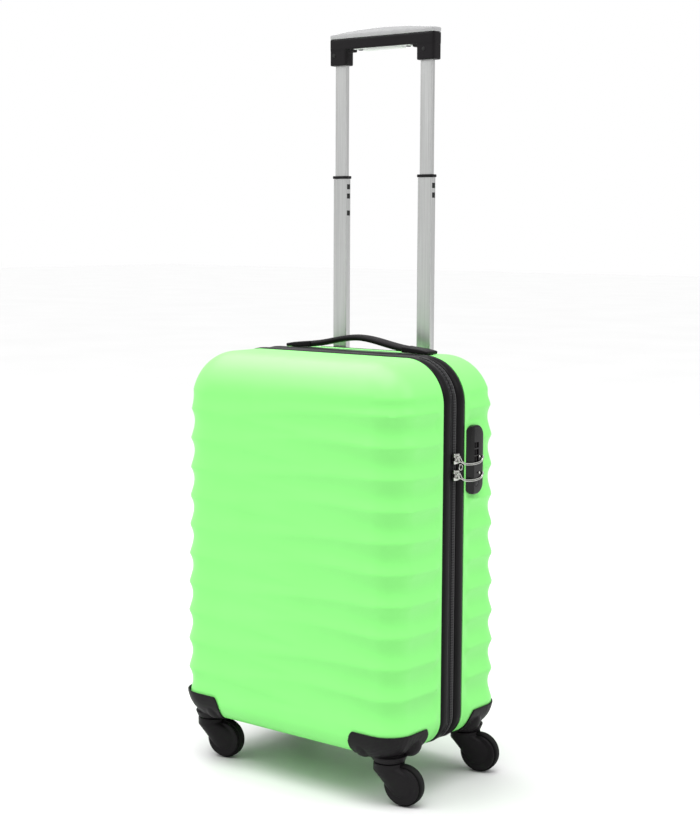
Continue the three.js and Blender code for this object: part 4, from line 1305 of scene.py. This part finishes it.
for side in ("left", "right"):
    low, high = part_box("packing_strap_" + side)
    strap_piece = block("webbing_strap_" + side, low, high, 0.5 * MM, 3)
    fit_to(smooth(strap_piece, 40), "case", "webbing", WEBBING, "packing_strap_" + side)
low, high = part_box("strap_buckle")
buckle = rounded_block("side_release_buckle", low, high, 5 * MM, 6, upright=False)
edit(buckle, "EDGE")
pick(buckle, lambda middle, along: abs(along.y) < 1e-6, "EDGE")
bpy.ops.mesh.bevel(offset=1.2 * MM, segments=3, affect="EDGES")
done()
middle = (low + high) / 2
for side in (-1, 1):
    centre = Vector((middle.x, middle.y, middle.z + side * (high.z - low.z) * 0.30))
    reach = Vector((7, 8, 1.6)) * MM
    subtract(buckle, block("slot", centre - reach, centre + reach, 0.8 * MM, 2))
fit_to(smooth(buckle, 40), "case", "trim", FRAME_BLACK, "strap_buckle")

# %% Hinge cloth between the halves
for half, body in (("front", "front_half"), ("rear", "case")):
    low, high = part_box("hinge_strip_" + half)
    strip = block("hinge_cloth_" + half, low, high, 0.3 * MM, 2)
    fit_to(smooth(strip, 40), body, "webbing", WEBBING, "hinge_strip_" + half)

# %% [markdown]
# ## Tray
# The tray at the top of the rear shell is a black moulding with a soft rim, where the grip sinks in.

# %% Handle tray and the pieces that stay as they are
tray = copied_node("handle_tray", "tray_moulding")
modifier(tray, "BEVEL", width=0.6 * MM, segments=3, limit_method="ANGLE", angle_limit=math.radians(35))
fit_to(smooth(tray, 40), "case", "trim", SOFT_BLACK, "handle_tray")
kept = {"handle_base": (SOFT_BLACK, "trim")}
for corner in CORNERS:
    kept["wheel_axle_" + corner] = (STEEL, "steel")
for node, (material, slot) in kept.items():
    piece = frame["nodes"][node]
    piece.data.materials.clear()
    piece.data.materials.append(material)
print("kept as packed:", sorted(kept))

# %% [markdown]
# ## Floor and light
# One wide overhead light whitens the floor, a softbox over the top brightens the upper roll, and two
# more light the face and the lock side, so that the corner between them stays a little darker.

# %% Floor, sky and lamps
SKY = 0.62
SUN = 3.1
FLOOR_TONE = 0.65
TOP_LAMP = 26
FRONT_LAMP = 33
SIDE_LAMP = 30


def add_floor():
    bpy.ops.mesh.primitive_plane_add(size=40)
    floor = new_piece("studio_floor")
    material, shader = start_finish("pale_floor", roughness=0.5, specular=0.3)
    mapping = place_pattern(material)
    drift = add_noise(material, mapping, 2)
    vary_colour(material, shader, drift, "Fac", (FLOOR_TONE,) * 3, (FLOOR_TONE + 0.02,) * 3)
    floor.data.materials.append(material)


def add_lamp(name, place, target, size, power):
    bpy.ops.object.light_add(type="AREA", location=place)
    lamp = bpy.context.object
    lamp.name = name
    lamp.data.shape = "RECTANGLE"
    lamp.data.size, lamp.data.size_y = size
    lamp.data.energy = power
    lamp.rotation_euler = (Vector(target) - Vector(place)).to_track_quat("-Z", "Y").to_euler()


add_floor()
bpy.ops.object.light_add(type="SUN", location=(1, -1.5, 3))
sun = bpy.context.object
sun.name = "overhead_softbox"
sun.data.energy = SUN
sun.data.angle = math.radians(50)
sun.rotation_euler = Vector((-0.03, 0.15, -0.99)).to_track_quat("-Z", "Y").to_euler()

add_lamp("upper_left_softbox", (-1.2, 0.1, 2.3), (-0.05, 0.0, 0.5), (1.8, 1.2), TOP_LAMP)
add_lamp("front_left_softbox", (-1.9, -2.0, 2.6), (0, 0, 0.4), (2.0, 2.0), FRONT_LAMP)
add_lamp("right_rear_softbox", (2.3, 0.9, 2.4), (0, 0, 0.4), (1.8, 1.8), SIDE_LAMP)

# The sky lights the case softly, and the camera sees it as plain white.
world = bpy.data.worlds.new("studio_sky")
bpy.context.scene.world = world
world.use_nodes = True
sky = world.node_tree
sky.nodes["Background"].inputs["Strength"].default_value = SKY
paper = sky.nodes.new("ShaderNodeBackground")
paper.inputs["Strength"].default_value = 1.0
paper.inputs["Color"].default_value = (1, 1, 1, 1)
sky.nodes["Background"].inputs["Color"].default_value = (1, 1, 1, 1)
seen = sky.nodes.new("ShaderNodeLightPath")
either = sky.nodes.new("ShaderNodeMixShader")
sky.links.new(seen.outputs["Is Camera Ray"], either.inputs["Fac"])
sky.links.new(sky.nodes["Background"].outputs["Background"], either.inputs[1])
sky.links.new(paper.outputs["Background"], either.inputs[2])
sky.links.new(either.outputs["Shader"], sky.nodes["World Output"].inputs["Surface"])
bpy.context.scene.view_settings.view_transform = "Standard"
